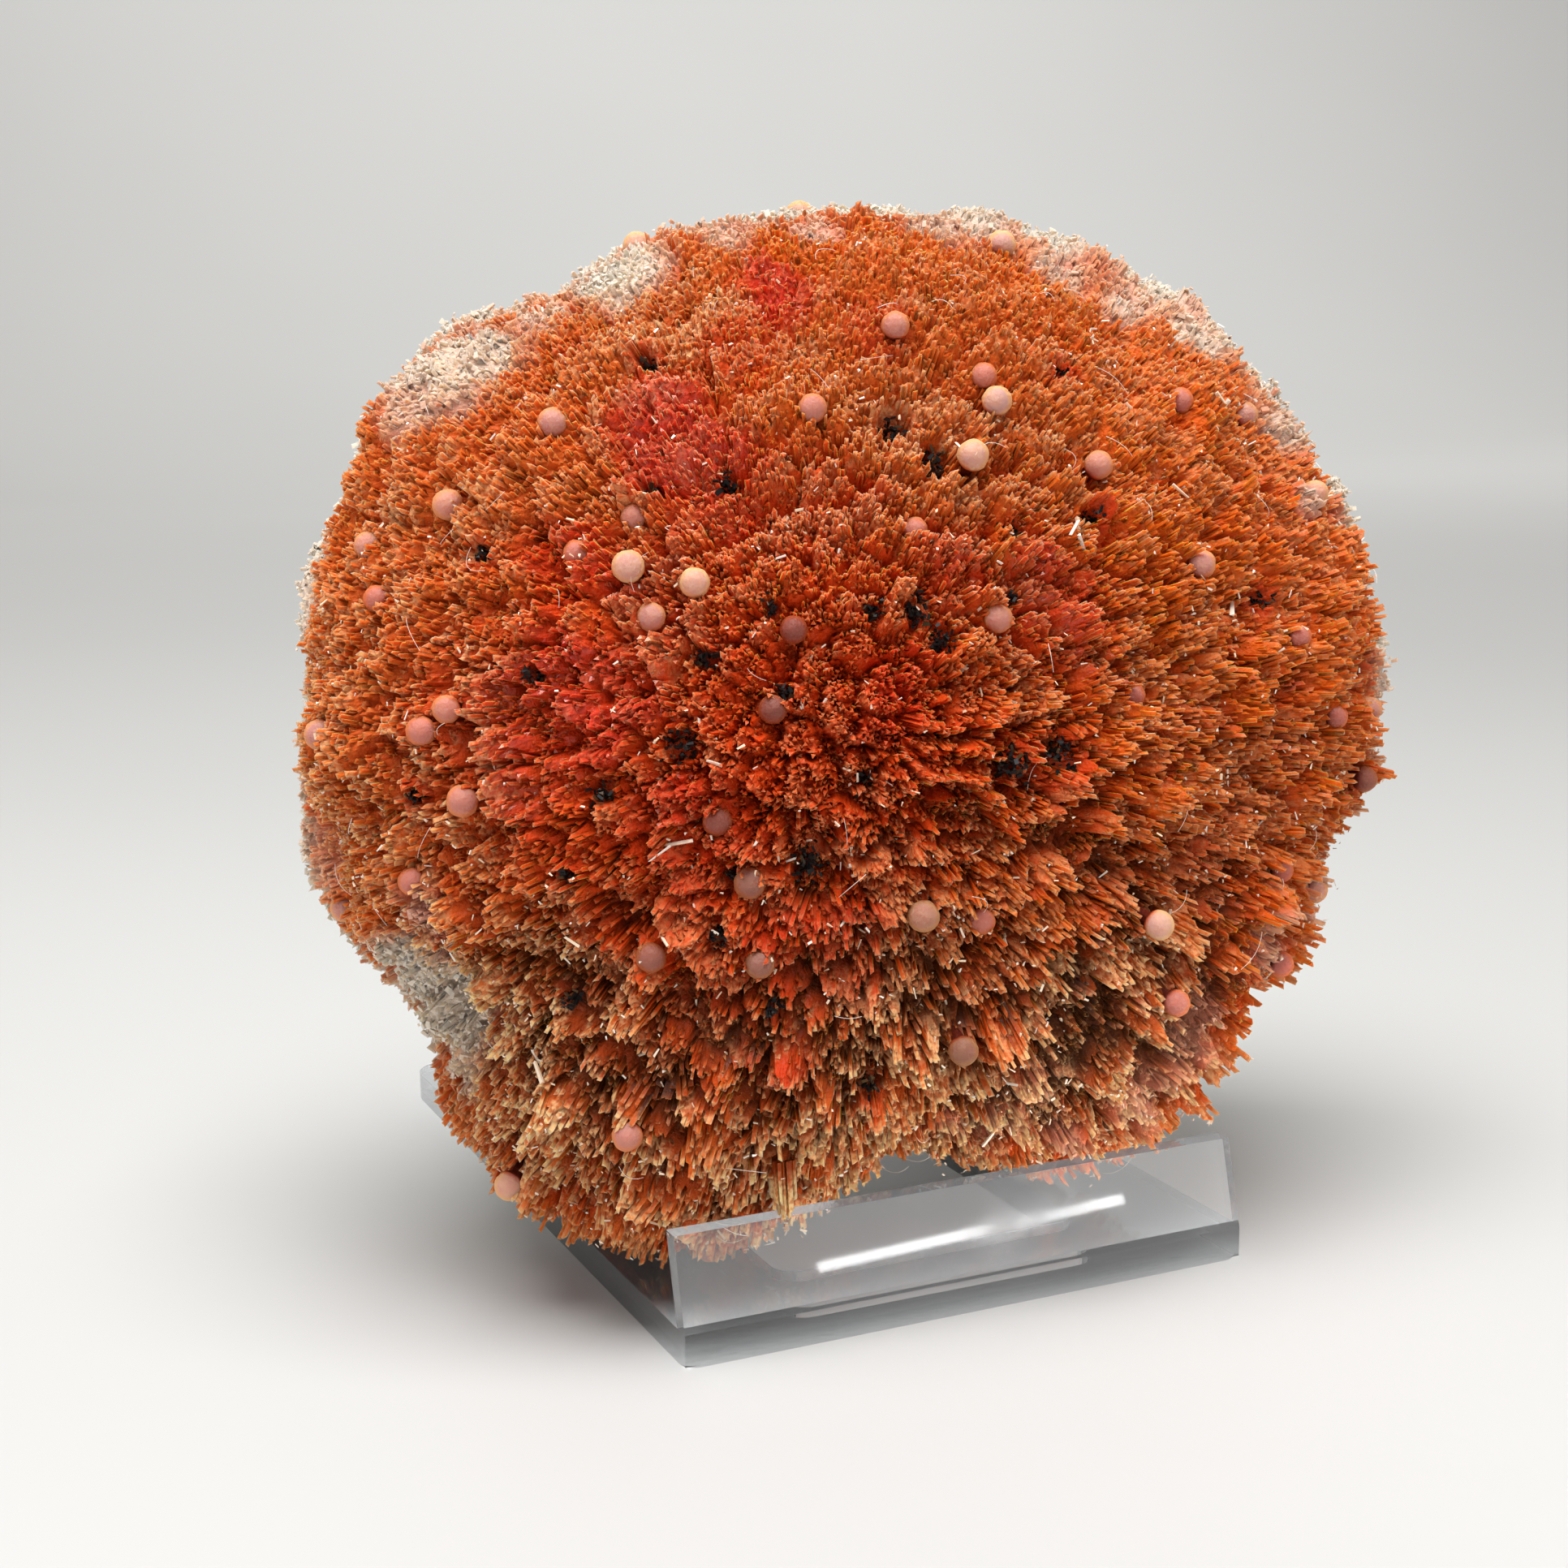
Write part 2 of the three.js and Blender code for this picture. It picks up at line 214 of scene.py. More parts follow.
# Rods between the tufts, whose round ends show as beads: pale ones, stained ones, and deeply set ones.
# A place is the column and row at which the picture shows it
BEADS_PALE = (
    (774, 698), (856, 718), (780, 291), (985, 265), (1228, 494), (1199, 561), (1234, 302), (1620, 608),
    (628, 1461), (1138, 1129), (1428, 1140), (1187, 1295),
)
BEADS_STAINED = (
    (552, 622), (681, 521), (802, 760), (454, 673), (550, 874), (394, 905), (1001, 503), (1103, 401),
    (1353, 573), (1533, 512), (1480, 695), (1687, 874), (1230, 762), (570, 987), (425, 1118), (924, 1088),
    (802, 1180), (936, 1188), (773, 1400), (1681, 960), (1627, 1099), (871, 1541),
)
BEADS_SUNK = (
    (710, 682), (465, 738), (519, 901), (780, 637), (978, 776), (952, 874), (1453, 494), (1600, 785),
    (1645, 883), (1127, 653), (1212, 463), (1395, 856), (507, 1086), (884, 1012), (1578, 1072),
    (1449, 1236), (1578, 1188), (1210, 1135),
)
RODS = {
    "pale": {"places": BEADS_PALE, "radius": 1.8, "depth": 0.9, "stain": (0.0, 0.12)},
    "stained": {"places": BEADS_STAINED, "radius": 1.75, "depth": 1.7, "stain": (0.35, 0.7)},
    "sunk": {"places": BEADS_SUNK, "radius": 1.65, "depth": 2.4, "stain": (0.75, 1.0)},
}

# A rod is a ball whose lowest points are pulled down into a stem, with its lengths in radii; the stem is dark
# with painted shade.
# Rods in shaded places get a painted shade too: column, row, radius in millimetres and strength
ROD_LENGTH = 4.0
ROD_NECK = -0.88
ROD_MODEL = {"around": 20, "rings": 12}
ROD_LUMPS = {"height": 0.04, "scale": 3.1, "apart": 17}
ROD_SIZES = (0.92, 1.06)
ROD_NECK_SHADE = {"from": -0.75, "to": -0.2, "stain": 1.6}
DIM_PLACES = (
    (950, 1110, 26, 0.8), (1187, 1295, 9, 1.2), (960, 820, 9, 1.0), (1681, 960, 5, 0.8), (1690, 874, 5, 0.8),
)
ROD_CLEARING = {"share": 0.64, "depth": 0.6}

# Hollows between the tufts, darkened by the painted shade of depth: column, row, radius and depth in
# millimetres
HOLLOWS = (
    (1240, 1215, 9, 2.2), (1130, 1225, 7, 2.4), (1430, 1085, 7, 2.0), (1350, 1265, 8, 2.0),
    (880, 1250, 8, 2.0), (720, 1240, 6, 2.4), (640, 1195, 5, 2.2), (900, 830, 8, 1.5),
    (1290, 935, 6, 2.4), (1330, 1020, 6, 2.2), (1210, 1010, 6, 1.6), (560, 1090, 5, 1.4),
    (1180, 720, 5, 1.5), (1370, 660, 5, 1.4), (960, 600, 5, 1.2), (800, 1340, 6, 1.8),
    (1050, 1330, 5, 1.4), (1520, 1130, 5, 1.2), (1010, 780, 5, 1.2), (820, 1100, 5, 1.2),
    (640, 1290, 7, 2.4), (730, 1340, 6, 2.2), (1000, 1255, 7, 2.4),
)

# Black specks that lie in pits between the tufts: column and row of wide pits and of small ones
WIDE_PITS = (
    (830, 919), (1105, 512), (1156, 557), (1141, 744), (1170, 782), (1266, 941), (1328, 934), (994, 1072),
)
SMALL_PITS = (
    (790, 434), (794, 594), (891, 575), (947, 740), (860, 808), (1082, 747), (1261, 640), (1259, 729),
    (1317, 446), (1364, 624), (1580, 731), (685, 1086), (690, 1249), (947, 1264), (492, 983), (880, 1170),
    (1158, 1133), (1074, 1360), (1067, 965), (577, 673), (638, 829), (896, 1090), (705, 412), (730, 982),
    (963, 850),
)
PITS = (
    {"places": WIDE_PITS, "radius": 1.75, "specks": 60},
    {"places": SMALL_PITS, "radius": 1.0, "specks": 26},
)
PIT_STAIN = (2.6, 0.75)
PIT_DEPTH = 5.0
PIT_FADE = 1.35
PIT_REACH = 3
SPECK_DEPTH = (1.3, 4.2)
SPECK_SPREAD = 0.5
SPECK_LENGTH = (0.4, 0.9)
SPECK_WIDTH = (0.5, 1.0)
SPECK_FORM = {"ratio": (0.6, 1), "roll": 3, "taper": (0.6, 1), "slant": 0}

# Coloured areas: column, row, radius in millimetres and strength
RED_PLACES = (
    (1020, 900, 26, 0.65), (700, 900, 20, 0.65), (950, 700, 18, 0.55), (900, 1150, 17, 0.65),
    (1300, 745, 11, 0.65), (830, 540, 10, 1.0), (690, 690, 8, 0.9), (700, 860, 11, 1.0),
    (960, 345, 6, 1.0), (1110, 850, 9, 0.95), (1000, 1180, 11, 0.95), (955, 1330, 6, 0.8),
    (1330, 720, 7, 0.8), (900, 620, 8, 0.9), (860, 1020, 13, 0.9), (1290, 950, 7, 0.7),
    (707, 412, 3, 0.9), (500, 1140, 3, 0.8), (1080, 380, 5, 0.6), (1020, 660, 12, 0.6),
    (1500, 1050, 4, 0.6), (1180, 690, 9, 0.7), (760, 1150, 9, 0.6), (920, 430, 7, 0.6),
)
GOLD_PLACES = (
    (1580, 950, 32, 0.95), (1470, 760, 22, 0.8), (1480, 1160, 26, 0.95), (1300, 1250, 20, 0.9),
    (1560, 620, 18, 0.5),
)
TAN_PLACES = (
    (1050, 1430, 30, 0.8), (440, 860, 26, 0.5), (600, 1300, 24, 0.9), (1400, 1330, 22, 0.9),
    (560, 560, 24, 0.5), (1150, 450, 22, 0.4), (780, 1480, 16, 0.7), (800, 380, 16, 0.7),
    (1200, 1385, 9, 1.0), (1300, 1375, 9, 1.0), (1100, 1420, 8, 1.0), (980, 1440, 7, 1.0),
)
CREAM_PLACES = (
    (525, 1230, 11, 1.3), (550, 435, 9, 0.85), (500, 490, 5, 0.6), (755, 325, 8, 1.0), (655, 385, 5, 0.7),
    (900, 285, 4, 0.5), (1000, 268, 4, 0.5), (1150, 275, 4, 0.6), (1300, 325, 4, 0.6),
    (1390, 370, 4, 0.7), (1480, 410, 5, 0.8), (1545, 455, 6, 0.85), (1590, 525, 5, 0.7),
    (1625, 610, 4, 0.6), (1645, 1110, 4, 0.5), (1590, 1190, 6, 0.45), (1500, 1300, 6, 0.4),
    (1420, 1370, 6, 0.35), (1330, 1420, 4, 0.4), (500, 1140, 4, 0.5), (560, 1330, 6, 0.8),
    # The two places on the lowest row are painted light: they pale its tips where the light falls on them.
    (1200, 1400, 6, 0.25), (1290, 1390, 6, 0.25),
)
WET_PLACES = (
    (830, 540, 8, 1.0), (720, 850, 9, 1.0), (960, 345, 5, 0.6), (780, 720, 6, 0.7), (620, 860, 7, 1.0),
    (790, 800, 7, 1.0), (650, 940, 7, 0.7), (1300, 720, 8, 0.9), (1370, 790, 6, 0.7), (1190, 690, 6, 0.6),
    (820, 980, 7, 0.6),
)
PIT_STAINS = tuple((*place, *PIT_STAIN) for place in WIDE_PITS + SMALL_PITS)
PATCH_NOISE = {"scale": 5.0, "reach": 4.0}
AREA_FADE = (0.45, 1.25)
PALE_RIM = {"turned": (-0.12, -0.20, 1.0), "pale": -6.0, "coloured": 8.0}

# Blunt grains of the pale crust
GRAIN_COUNT = 9000
GRAIN_SIZE = (0.5, 1.1)
GRAIN_SUNK = (-0.5, 0.2)
GRAIN_LOWEST = -0.15
GRAINS_BEHIND = 0.4
GRAIN_TRIES = 8
GRAIN_LEAST_PALE = 0.3
GRAIN_WIDTH = (0.6, 1.0)
GRAIN_TONE = (0.2, 1)
GRAIN_FORM = {"ratio": (0.6, 1.0), "roll": math.pi, "taper": (0.5, 1.0), "slant": 0}

# Loose white splinters and fibres that lie on the tips. The large splinters are at column and row
SHARD_PLACES = (
    (1455, 605), (1465, 597), (1500, 495), (1510, 500), (1335, 640), (1340, 665), (640, 1335),
    (650, 1338), (1205, 815), (1195, 818), (1280, 1330), (1275, 1325), (815, 1050), (830, 1045),
    (1535, 745), (350, 1065), (1440, 590), (1325, 650), (1545, 508), (880, 940), (1050, 1050),
    (930, 1190), (700, 1165), (1225, 1420),
)
# The many small splinters are partly real white splinters and partly painted highlights, set on the tips
# where they glint.
SHARD_COUNT = 8000
SHARD_LEAST = 0.3
SHARD_TILT = 0.6
SHARD_LENGTH = {"least": 0.25, "more": 0.35, "rarity": 8}  # long ones get rarer with this power
SHARD_HEIGHT = (-0.1, 0.4)
SHARD_WIDTH = (0.2, 0.42)
SHARD_FORM = {"ratio": (0.5, 1), "roll": 3, "taper": (0.6, 1), "slant": 0.08}
LARGE_SHARD_LENGTH = (1.6, 3.2)
LARGE_SHARD_WIDTH = (0.35, 0.8)
FIBRE_COUNT = 60
FIBRE_POINTS = 7
FIBRE_SIDES = 3
FIBRE_RADIUS = 0.035
FIBRE_FORWARDS = 0.2
FIBRE_LENGTH = (1.8, 5.5)
FIBRE_CURL = 1.3
FIBRE_HEIGHT = {"middle": 0.4, "droop": 2.2}

# The one tuft that hangs over the stand's lip
HANGING_TUFT = {
    "seen": ((966, 1470),), "columns": 4, "rows": 4, "length": 8.0, "forwards": 0.1, "apart": 0.7,
    "shake": 0.16, "shorter_aside": 0.9, "lengths": (0.75, 1.0), "widths": (0.9, 1.3), "tone": (0.2, 0.9),
    "depth": 3.0,
}
HANGING_FORM = {"ratio": (0.7, 1.0), "roll": math.pi, "taper": (0.7, 1.0), "slant": 0.2}

# Sockets of a mix node that take its factor and its two colours, and the one that gives the mixed colour
MIX_SOCKETS = (0, 6, 7)
MIXED_COLOUR = 2

# Colour of the crystal: what its shader group reads at each point, and the colours that it mixes
CRYSTAL_GROUP = "Grown crystal"
CRYSTAL_VALUES = ("depth", "tip", "red", "gold", "tan", "pale", "wet", "tone")
# The crevice and umber colours are painted shade at the bottom between the tufts; deep and amber are partly
# the shafts' own colour and partly painted shade.
CRYSTAL_COLOURS = (
    "orange", "red", "gold", "tan", "cream", "deep", "crevice", "tip", "wet", "amber", "umber", "straw",
)

# How the mix follows those values. Four numbers are the low and high end of a value and what each end gives
# Below and bottom are painted shade: the crystal darkens with depth between the tufts, less where it is pale.
SHADE = {
    "wet": 0.2, "tone": (0.0, 1.0, 0.84, 1.08), "kept": (0.0, 1.0, 1.0, 0.22), "brown_gold": 0.45,
    "brown_depth": 0.7, "below": (0.4, 3.6, 0.0, 0.75), "bottom": (2.4, 6.0, 0.0, 0.97),
    "bare": (0.0, 1.0, 0.55, 1.0), "bare_gold": 0.2, "tip": (0.1, 0.9), "sunk_tip": (1.5, 5.5, 1.0, 0.1),
    "stained_tip": (0.3, 1.0, 1.0, 0.3),
}

# Fine noise in the materials, with its cells per metre
FINE_NOISES = {
    "tone": {"scale": 900.0, "detail": 1.0, "steps": (0.3, 0.7, -0.2, 0.2)},
    "tip": {"scale": 1500.0, "detail": 1.0, "steps": (0.35, 0.65, 0.5, 1.25)},
    "glint": {"scale": 1400.0, "detail": 1.0, "steps": (0.52, 0.62)},
    "cloud": {"scale": 700.0, "detail": 3.0, "steps": (0.35, 0.65)},
    "wear": {"scale": 60.0, "detail": 6.0, "steps": (0.55, 0.8, 0.02, 0.10)},
    "floor": {"scale": 3.0, "detail": 1.0, "steps": (0.3, 0.7, 0.985, 1.0)},
}
CRYSTAL_SKIN = {"scale": 2600.0, "detail": 1.5, "strength": 0.6}
BEAD_SKIN = {"scale": 1900.0, "detail": 3.0, "strength": 0.8}
BEAD_CRUMBS = 0.3

# Surfaces. Crumbs are the height of a crystal's roughness in millimetres
MINERAL_IOR = 1.51
CRYSTAL_KINDS = {
    "Crystal core": {"roughness": 0.8, "scattered": 0.0, "specular": 0.0, "crumbs": 0.16},
    "Crystal mass": {"roughness": 0.5, "scattered": 0.15, "specular": 0.1, "crumbs": 0.45},
    "Needle crystal": {"roughness": 0.45, "scattered": 0.75, "specular": 0.11, "crumbs": 0.16},
    "Crust grain": {"roughness": 0.45, "scattered": 0.5, "specular": 0.11, "crumbs": 0.16},
    "Hanging needle": {"roughness": 0.45, "scattered": 0.8, "specular": 0.11, "crumbs": 0.16},
}
WET_ROUGHNESS = 0.25
WET_COAT = (0.2, 1.0, 0.0, 0.6)
GLINT_GLOSS = 0.16
CRYSTAL_FINISH = {
    "IOR": MINERAL_IOR, "Coat Roughness": 0.12, "Subsurface Radius": (1.0, 0.7, 0.5),
    "Subsurface Scale": 1.4 * MM,
}
BEAD_FINISH = {
    "Roughness": 0.55, "Specular IOR Level": 0.3, "IOR": MINERAL_IOR, "Subsurface Weight": 0.9,
    "Subsurface Radius": (1.0, 0.6, 0.45), "Subsurface Scale": 2.5 * MM,
}
SPECK_FINISH = {"Roughness": 0.4, "Specular IOR Level": 0.2}
SPLINTER_FINISH = {
    "Roughness": 0.4, "IOR": MINERAL_IOR, "Subsurface Weight": 0.4, "Subsurface Radius": (1.0, 0.9, 0.8),
    "Subsurface Scale": 0.4 * MM,
}
PLASTIC_FINISH = {"Base Color": (0.985, 0.99, 0.995, 1), "IOR": 1.49, "Transmission Weight": 0.94}
PLASTIC_SHADOW = (0.92, 0.93, 0.94, 1)
FLOOR_FINISH = {"Roughness": 0.55}
# The dim and neck colours are painted shade.
BEAD_COLOURS = {
    "heart": (0.68, 0.35, 0.25, 1), "lilac": (0.54, 0.33, 0.31, 1), "cloud": (0.72, 0.44, 0.29, 1),
    "rim": (0.76, 0.42, 0.19, 1), "stained_heart": (0.50, 0.15, 0.11, 1),
    "stained_rim": (0.60, 0.11, 0.025, 1), "lit": (1, 1, 1, 1), "dim": (0.42, 0.34, 0.30, 1),
    "neck": (0.12, 0.01, 0.002, 1),
}
BEAD_CLOUDED = 0.5
BEAD_FACING = 0.4
BEAD_RIM = (0.15, 0.55)
BEAD_NECK = (1.0, ROD_NECK_SHADE["stain"])
SPECK_COLOURS = ((0.006, 0.006, 0.006, 1), (0.09, 0.05, 0.02, 1))
SPECK_BROWN = (0.82, 1.0)
SPLINTER_COLOURS = ((1.0, 0.90, 0.76, 1), (0.96, 0.66, 0.42, 1))

# The stage, in metres, with the spread of its lights in degrees
DISK_MIDDLE = DISK_CENTRE * MM
LIP_MIDDLE = STAND_ORIGIN * MM + np.array((0, 0, LIP["height"] / 2 * MM))
WIDE_OPEN = 180
LIGHTS = {
    "key": {"place": (-0.14, -0.22, 0.95), "target": DISK_MIDDLE, "size": (0.80, 0.60), "spread": WIDE_OPEN},
    "left": {"place": (-0.80, -0.24, 0.04), "target": DISK_MIDDLE, "size": (0.4, 0.3), "spread": WIDE_OPEN},
    "low": {"place": (0.30, -0.80, 0.02), "target": (0.025, -0.05, 0.008), "size": (0.08, 0.02), "spread": 6},
    "backdrop": {
        "place": (1.2, 1.0, 1.8), "target": (1.4, 3.0, 0.9), "size": (2.0, 0.8), "spread": WIDE_OPEN,
    },
    "strip": {
        "place": LIP_MIDDLE + (0.316, -0.622, 0.05), "target": LIP_MIDDLE, "size": (0.13, 0.004),
        "spread": WIDE_OPEN,
    },
}
FLOOR = {"size": 6, "wall": 3, "bend": 1.2, "bend_segments": 16, "margin": 0.1}
SKY_COLOUR = (1.0, 0.975, 0.95, 1)
NEAREST_SEEN = 0.02
DIFFUSE_BOUNCES = 2


def unit(vectors):
    return vectors / np.linalg.norm(vectors, axis=-1, keepdims=True)


def smoothstep(values, low, high):
    part = np.clip((values - low) / (high - low), 0, 1)
    return part * part * (3 - 2 * part)


def scatter(i, j, k):
    """Random-looking value from 0 to 1 that belongs to three whole numbers."""
    first, second, third = SCATTER_WAVES
    wave = np.sin(i * first + j * second + k * third) * SCATTER_SCALE
    return wave - np.floor(wave)


def noise(points):
    """Smooth noise from -1 to 1, one cell per unit of length."""
    cell = np.floor(points)
    part = points - cell
    ease = part * part * (3 - 2 * part)
    total = np.zeros(len(points))
    for corner in itertools.product((0, 1), repeat=3):
        weight = np.prod(np.where(np.array(corner) == 1, ease, 1 - ease), axis=1)
        total += weight * scatter(*(cell + corner).T)
    return 2 * total - 1


def outline_radius(direction):
    degrees = np.degrees(np.arctan2(direction[:, 1], direction[:, 0]))
    strength = smoothstep(np.hypot(direction[:, 0], direction[:, 1]), *LOBES_FADE)
    radius = np.full(len(direction), MEAN_RADIUS)
    for at, width, height in LOBES:
        away = (degrees - at + 180) % 360 - 180
        radius += strength * height * np.exp(-((away / width) ** 2))
    return radius


def body_radius(direction):
    """Smooth body without relief: distance from its centre in a direction of its own frame."""
    is_front = direction[:, 2] > 0
    power = np.where(is_front, FRONT_POWER, BACK_POWER)
    depth = np.where(is_front, FRONT_DEPTH, BACK_DEPTH)
    across = np.hypot(direction[:, 0], direction[:, 1]) / outline_radius(direction)
    return (across**power + (np.abs(direction[:, 2]) / depth) ** power) ** (-1 / power)


def sawtooth(direction, rows):
    wobble = rows["wobble"] * noise(direction * rows["wobble_scale"])
    phase = np.arccos(np.clip(direction[:, 2], -1, 1)) * rows["per_radian"] + wobble
    return rows["height"] * (phase - np.floor(phase) - 0.5)


def ledge_strength(direction):
    angle = np.arctan2(direction[:, 1], direction[:, 0]) - LEDGE["facing"]
    turned = np.arctan2(np.sin(angle), np.cos(angle))
    return np.exp(-((turned / LEDGE["spread"]) ** 2))


def tip_radius(direction):
    """Distance of the tuft tips from the disk's centre, relief and ledges included."""
    radius = body_radius(direction)
    place = direction * radius[:, None]
    for wavelength, height in SWELLS:
        radius = radius + height * noise(place / wavelength)
    fade = smoothstep(direction[:, 2], *LEDGE_BLEND)
    return radius + ledge_strength(direction) * fade * sawtooth(direction, LEDGE)


def on_tips(direction):
    """The points of the tip surface in given directions."""
    return direction * tip_radius(direction)[:, None]


def disk_axes():
    """Columns: right, up and out of the disk's front, in the frame's axes."""
    right = np.array((math.cos(DISK_TURN), -math.sin(DISK_TURN), 0))
    level = math.cos(DISK_LEAN)
    out = np.array((-math.sin(DISK_TURN) * level, -math.cos(DISK_TURN) * level, math.sin(DISK_LEAN)))
    return np.column_stack((right, np.cross(out, right), out))


DISK_AXES = disk_axes()


def to_frame(points):
    return points @ DISK_AXES.T + DISK_CENTRE


def to_disk(points):
    return (points - DISK_CENTRE) @ DISK_AXES


def eye_axes():
    """Columns: right, up and backwards of the eye, in the frame's axes."""
    turn = Matrix.Rotation(-EYE_TURN, 3, "Z")
    tip = Matrix.Rotation(math.pi / 2 - EYE_DOWN, 3, "X")
    return turn @ tip @ Matrix.Rotation(EYE_ROLL, 3, "Z")


@functools.cache
def sighted(places, depth=0.0):
    """Points so deep below the disk's tips, in its own frame, that are seen at places of the picture."""
    places = np.array(places, float)[:, :2]
    across, down = ((places - PICTURE_SIZE / 2) / FOCAL_PIXELS).T
    seen = np.column_stack((across, -down, -np.ones(len(places))))
    lines = unit(seen) @ np.array(eye_axes()).T
    far = np.zeros(len(places))
    least = np.full(len(places), np.inf)
    best = np.zeros((len(places), 3))
    for _ in range(SIGHT_STEPS):
        inner = to_disk(EYE + lines * far[:, None])
        length = np.linalg.norm(inner, axis=1)
        gap = length - tip_radius(inner / length[:, None]) + depth
        nearer = (gap < least) & (least > 0)
        least = np.where(nearer, gap, least)
        best[nearer] = inner[nearer]
        far += np.maximum(gap / 2, SIGHT_STEP)
    length = np.linalg.norm(best, axis=1)
    return best * ((length - np.maximum(least, 0)) / length)[:, None]


def area_mask(points, places, rough):
    """How strongly each point lies in one of the areas, from 0 up. The rough numbers shake their edges."""
    centres = sighted(places)
    core, edge = AREA_FADE
    mask = np.zeros(len(points))
    for centre, (_, _, radius, strength) in zip(centres, places):
        away = np.linalg.norm(points - centre, axis=1) + rough * min(1, radius / PATCH_NOISE["reach"] / 2)
        mask = np.maximum(mask, strength * (1 - smoothstep(away, core * radius, edge * radius)))
    return mask


def in_stand(points):
    """Whether points, in the frame's millimetres, lie in the stand grown by what is kept off it."""
    x, y, z = (points - STAND_ORIGIN).T
    grown = KEPT_OFF
    bed = z < BASE_THICKNESS + grown
    rise = np.clip((z - BASE_THICKNESS) / (LIP["height"] - BASE_THICKNESS), 0, 1) * LIP["lean"]
    lip = (np.abs(x) < STAND_WIDTH / 2 + grown) & (z < LIP["height"] + grown)
    lip &= (y > rise - grown) & (y < rise + LIP["thickness"] + grown)
    plate = (y > BACK_FRAME["front"] - grown) & (y < BACK_FRAME["front"] + BACK_FRAME["thickness"] + grown)
    plate &= (np.abs(x) < BACK_FRAME["half"] + grown) & (z < STAND_HEIGHT + grown)
    window = (np.abs(x) < BACK_WINDOW["half"] - grown) & (z < BACK_WINDOW["top"] - grown)
    return bed | lip | (plate & ~window)


def levels(lowest):
    """Heights on the disk's axis from the lowest up, and the share of the crystal that grows below each."""
    level = np.linspace(lowest, 1, LEVEL_STEPS)
    depth = np.where(level > 0, FRONT_DEPTH, BACK_DEPTH)
    area = np.sqrt((MEAN_RADIUS * level) ** 2 + depth**2 * (1 - level**2))
    share = np.cumsum(area * density_at(level))
    return level, share / share[-1]


def density_at(level):
    return np.interp(level, DENSITY_LEVELS, DENSITIES)


def level_of(direction):
    """Height on the disk's axis, from -1 at the middle of its back to 1 at the middle of its front."""
    depth = np.where(direction[:, 2] > 0, FRONT_DEPTH, BACK_DEPTH)
    return np.sin(np.arctan2(direction[:, 2] / depth, np.hypot(*direction[:, :2].T) / MEAN_RADIUS))


def directions_at(level, angle):
    across = MEAN_RADIUS * np.sqrt(1 - level**2)
    depth = np.where(level > 0, FRONT_DEPTH, BACK_DEPTH)
    return unit(np.column_stack((across * np.cos(angle), across * np.sin(angle), depth * level)))


def spread(count):
    """Even spiral of directions over the whole disk, thinner on its back, and how dense it is at each."""
    level, share = levels(-1)
    height = np.interp((np.arange(count) + 0.5) / count, share, level)
    return directions_at(height, np.arange(count) * GOLDEN_ANGLE), density_at(height)


def net(count):
    """Directions of a square net wrapped over the disk, from the middle of its front round to its back."""
    line = np.linspace(-1, 1, count + 1)
    across, up = (side.ravel() for side in np.meshgrid(line, line, indexing="ij"))
    is_wide = np.abs(across) > np.abs(up)
    longer = np.where(is_wide, across, up)
    shorter = np.where(is_wide, up, across)
    turned = math.pi / 4 * shorter / np.where(longer == 0, 1, longer)
    angle = np.where(is_wide, turned, math.pi / 2 - turned) + np.where(longer < 0, math.pi, 0)
    level, share = levels(MASS_LOWEST)
    return directions_at(np.interp(1 - longer**2, share, level), angle)


def cells(points, centres):
    """For each point: its nearest centre, and how much nearer that is than the next one."""
    tree = kdtree.KDTree(len(centres))
    for i, centre in enumerate(centres):
        tree.insert(centre, i)
    tree.balance()
    found = [tree.find_n(point, 2) for point in points]
    nearest = np.array([first[1] for first, _ in found])
    margin = np.array([second[2] - first[2] for first, second in found])
    return nearest, margin


def outward_slope(points, centres):
    """How far points lie from their tuft's centre, measured along the surface away from the disk's axis."""
    radial = unit(centres - FOCUS)
    sideways = np.column_stack((centres[:, 0], centres[:, 1], np.zeros(len(centres))))
    sideways = sideways - np.sum(sideways * radial, axis=1)[:, None] * radial
    length = np.linalg.norm(sideways, axis=1)
    along = sideways / np.maximum(length, SLOPE_FADE)[:, None]
    return np.sum((points - centres) * along, axis=1)


def blunt(height, most):
    """Heights above zero that flatten out towards the most."""
    return np.where(height > 0, most * np.tanh(height / most), height)


def limited(height):
    """Heights that flatten out towards their lowest and highest limit."""
    lowest, highest = HEIGHT_LIMITS
    return blunt(-blunt(-height, -lowest), highest)


def ruggedness(surface):
    """From 0 in the smooth top and upper left to 1 at the bottom."""
    return smoothstep(surface @ CALM["towards"], CALM["smooth"], CALM["rugged"])


def share_of(least, surface):
    """A share that grows from its least in the smooth areas to 1 in the rugged ones."""
    return least + (1 - least) * ruggedness(surface)


@functools.cache
def grow_tufts():
    """The tufts and the larger clumps that they stand in: their places, heights, slopes and turns."""
    random = np.random.default_rng(SEEDS["tufts"])
    places = []
    for count, shake in ((CLUMP_COUNT, CLUMP_SHAKE), (TUFT_COUNT, TUFT_SHAKE)):
        direction, _ = spread(count)
        direction = unit(direction + random.normal(0, shake, direction.shape))
        places.append(direction * body_radius(direction)[:, None])
    return {
        "clumps": places[0],
        "tufts": places[1],
        "clump_height": random.uniform(*CLUMP_HEIGHT, CLUMP_COUNT),
        "tuft_height": random.uniform(*TUFT_HEIGHT, TUFT_COUNT),
        "clump_rise": random.uniform(*CLUMP_RISE, CLUMP_COUNT),
        "tuft_rise": random.uniform(*TUFT_RISE, TUFT_COUNT),
        "lean": random.normal(0, TUFT_LEAN, (TUFT_COUNT, 3)),
        "roll": random.uniform(0, math.pi, TUFT_COUNT),
        "tone": random.uniform(0, 1, TUFT_COUNT),
    }


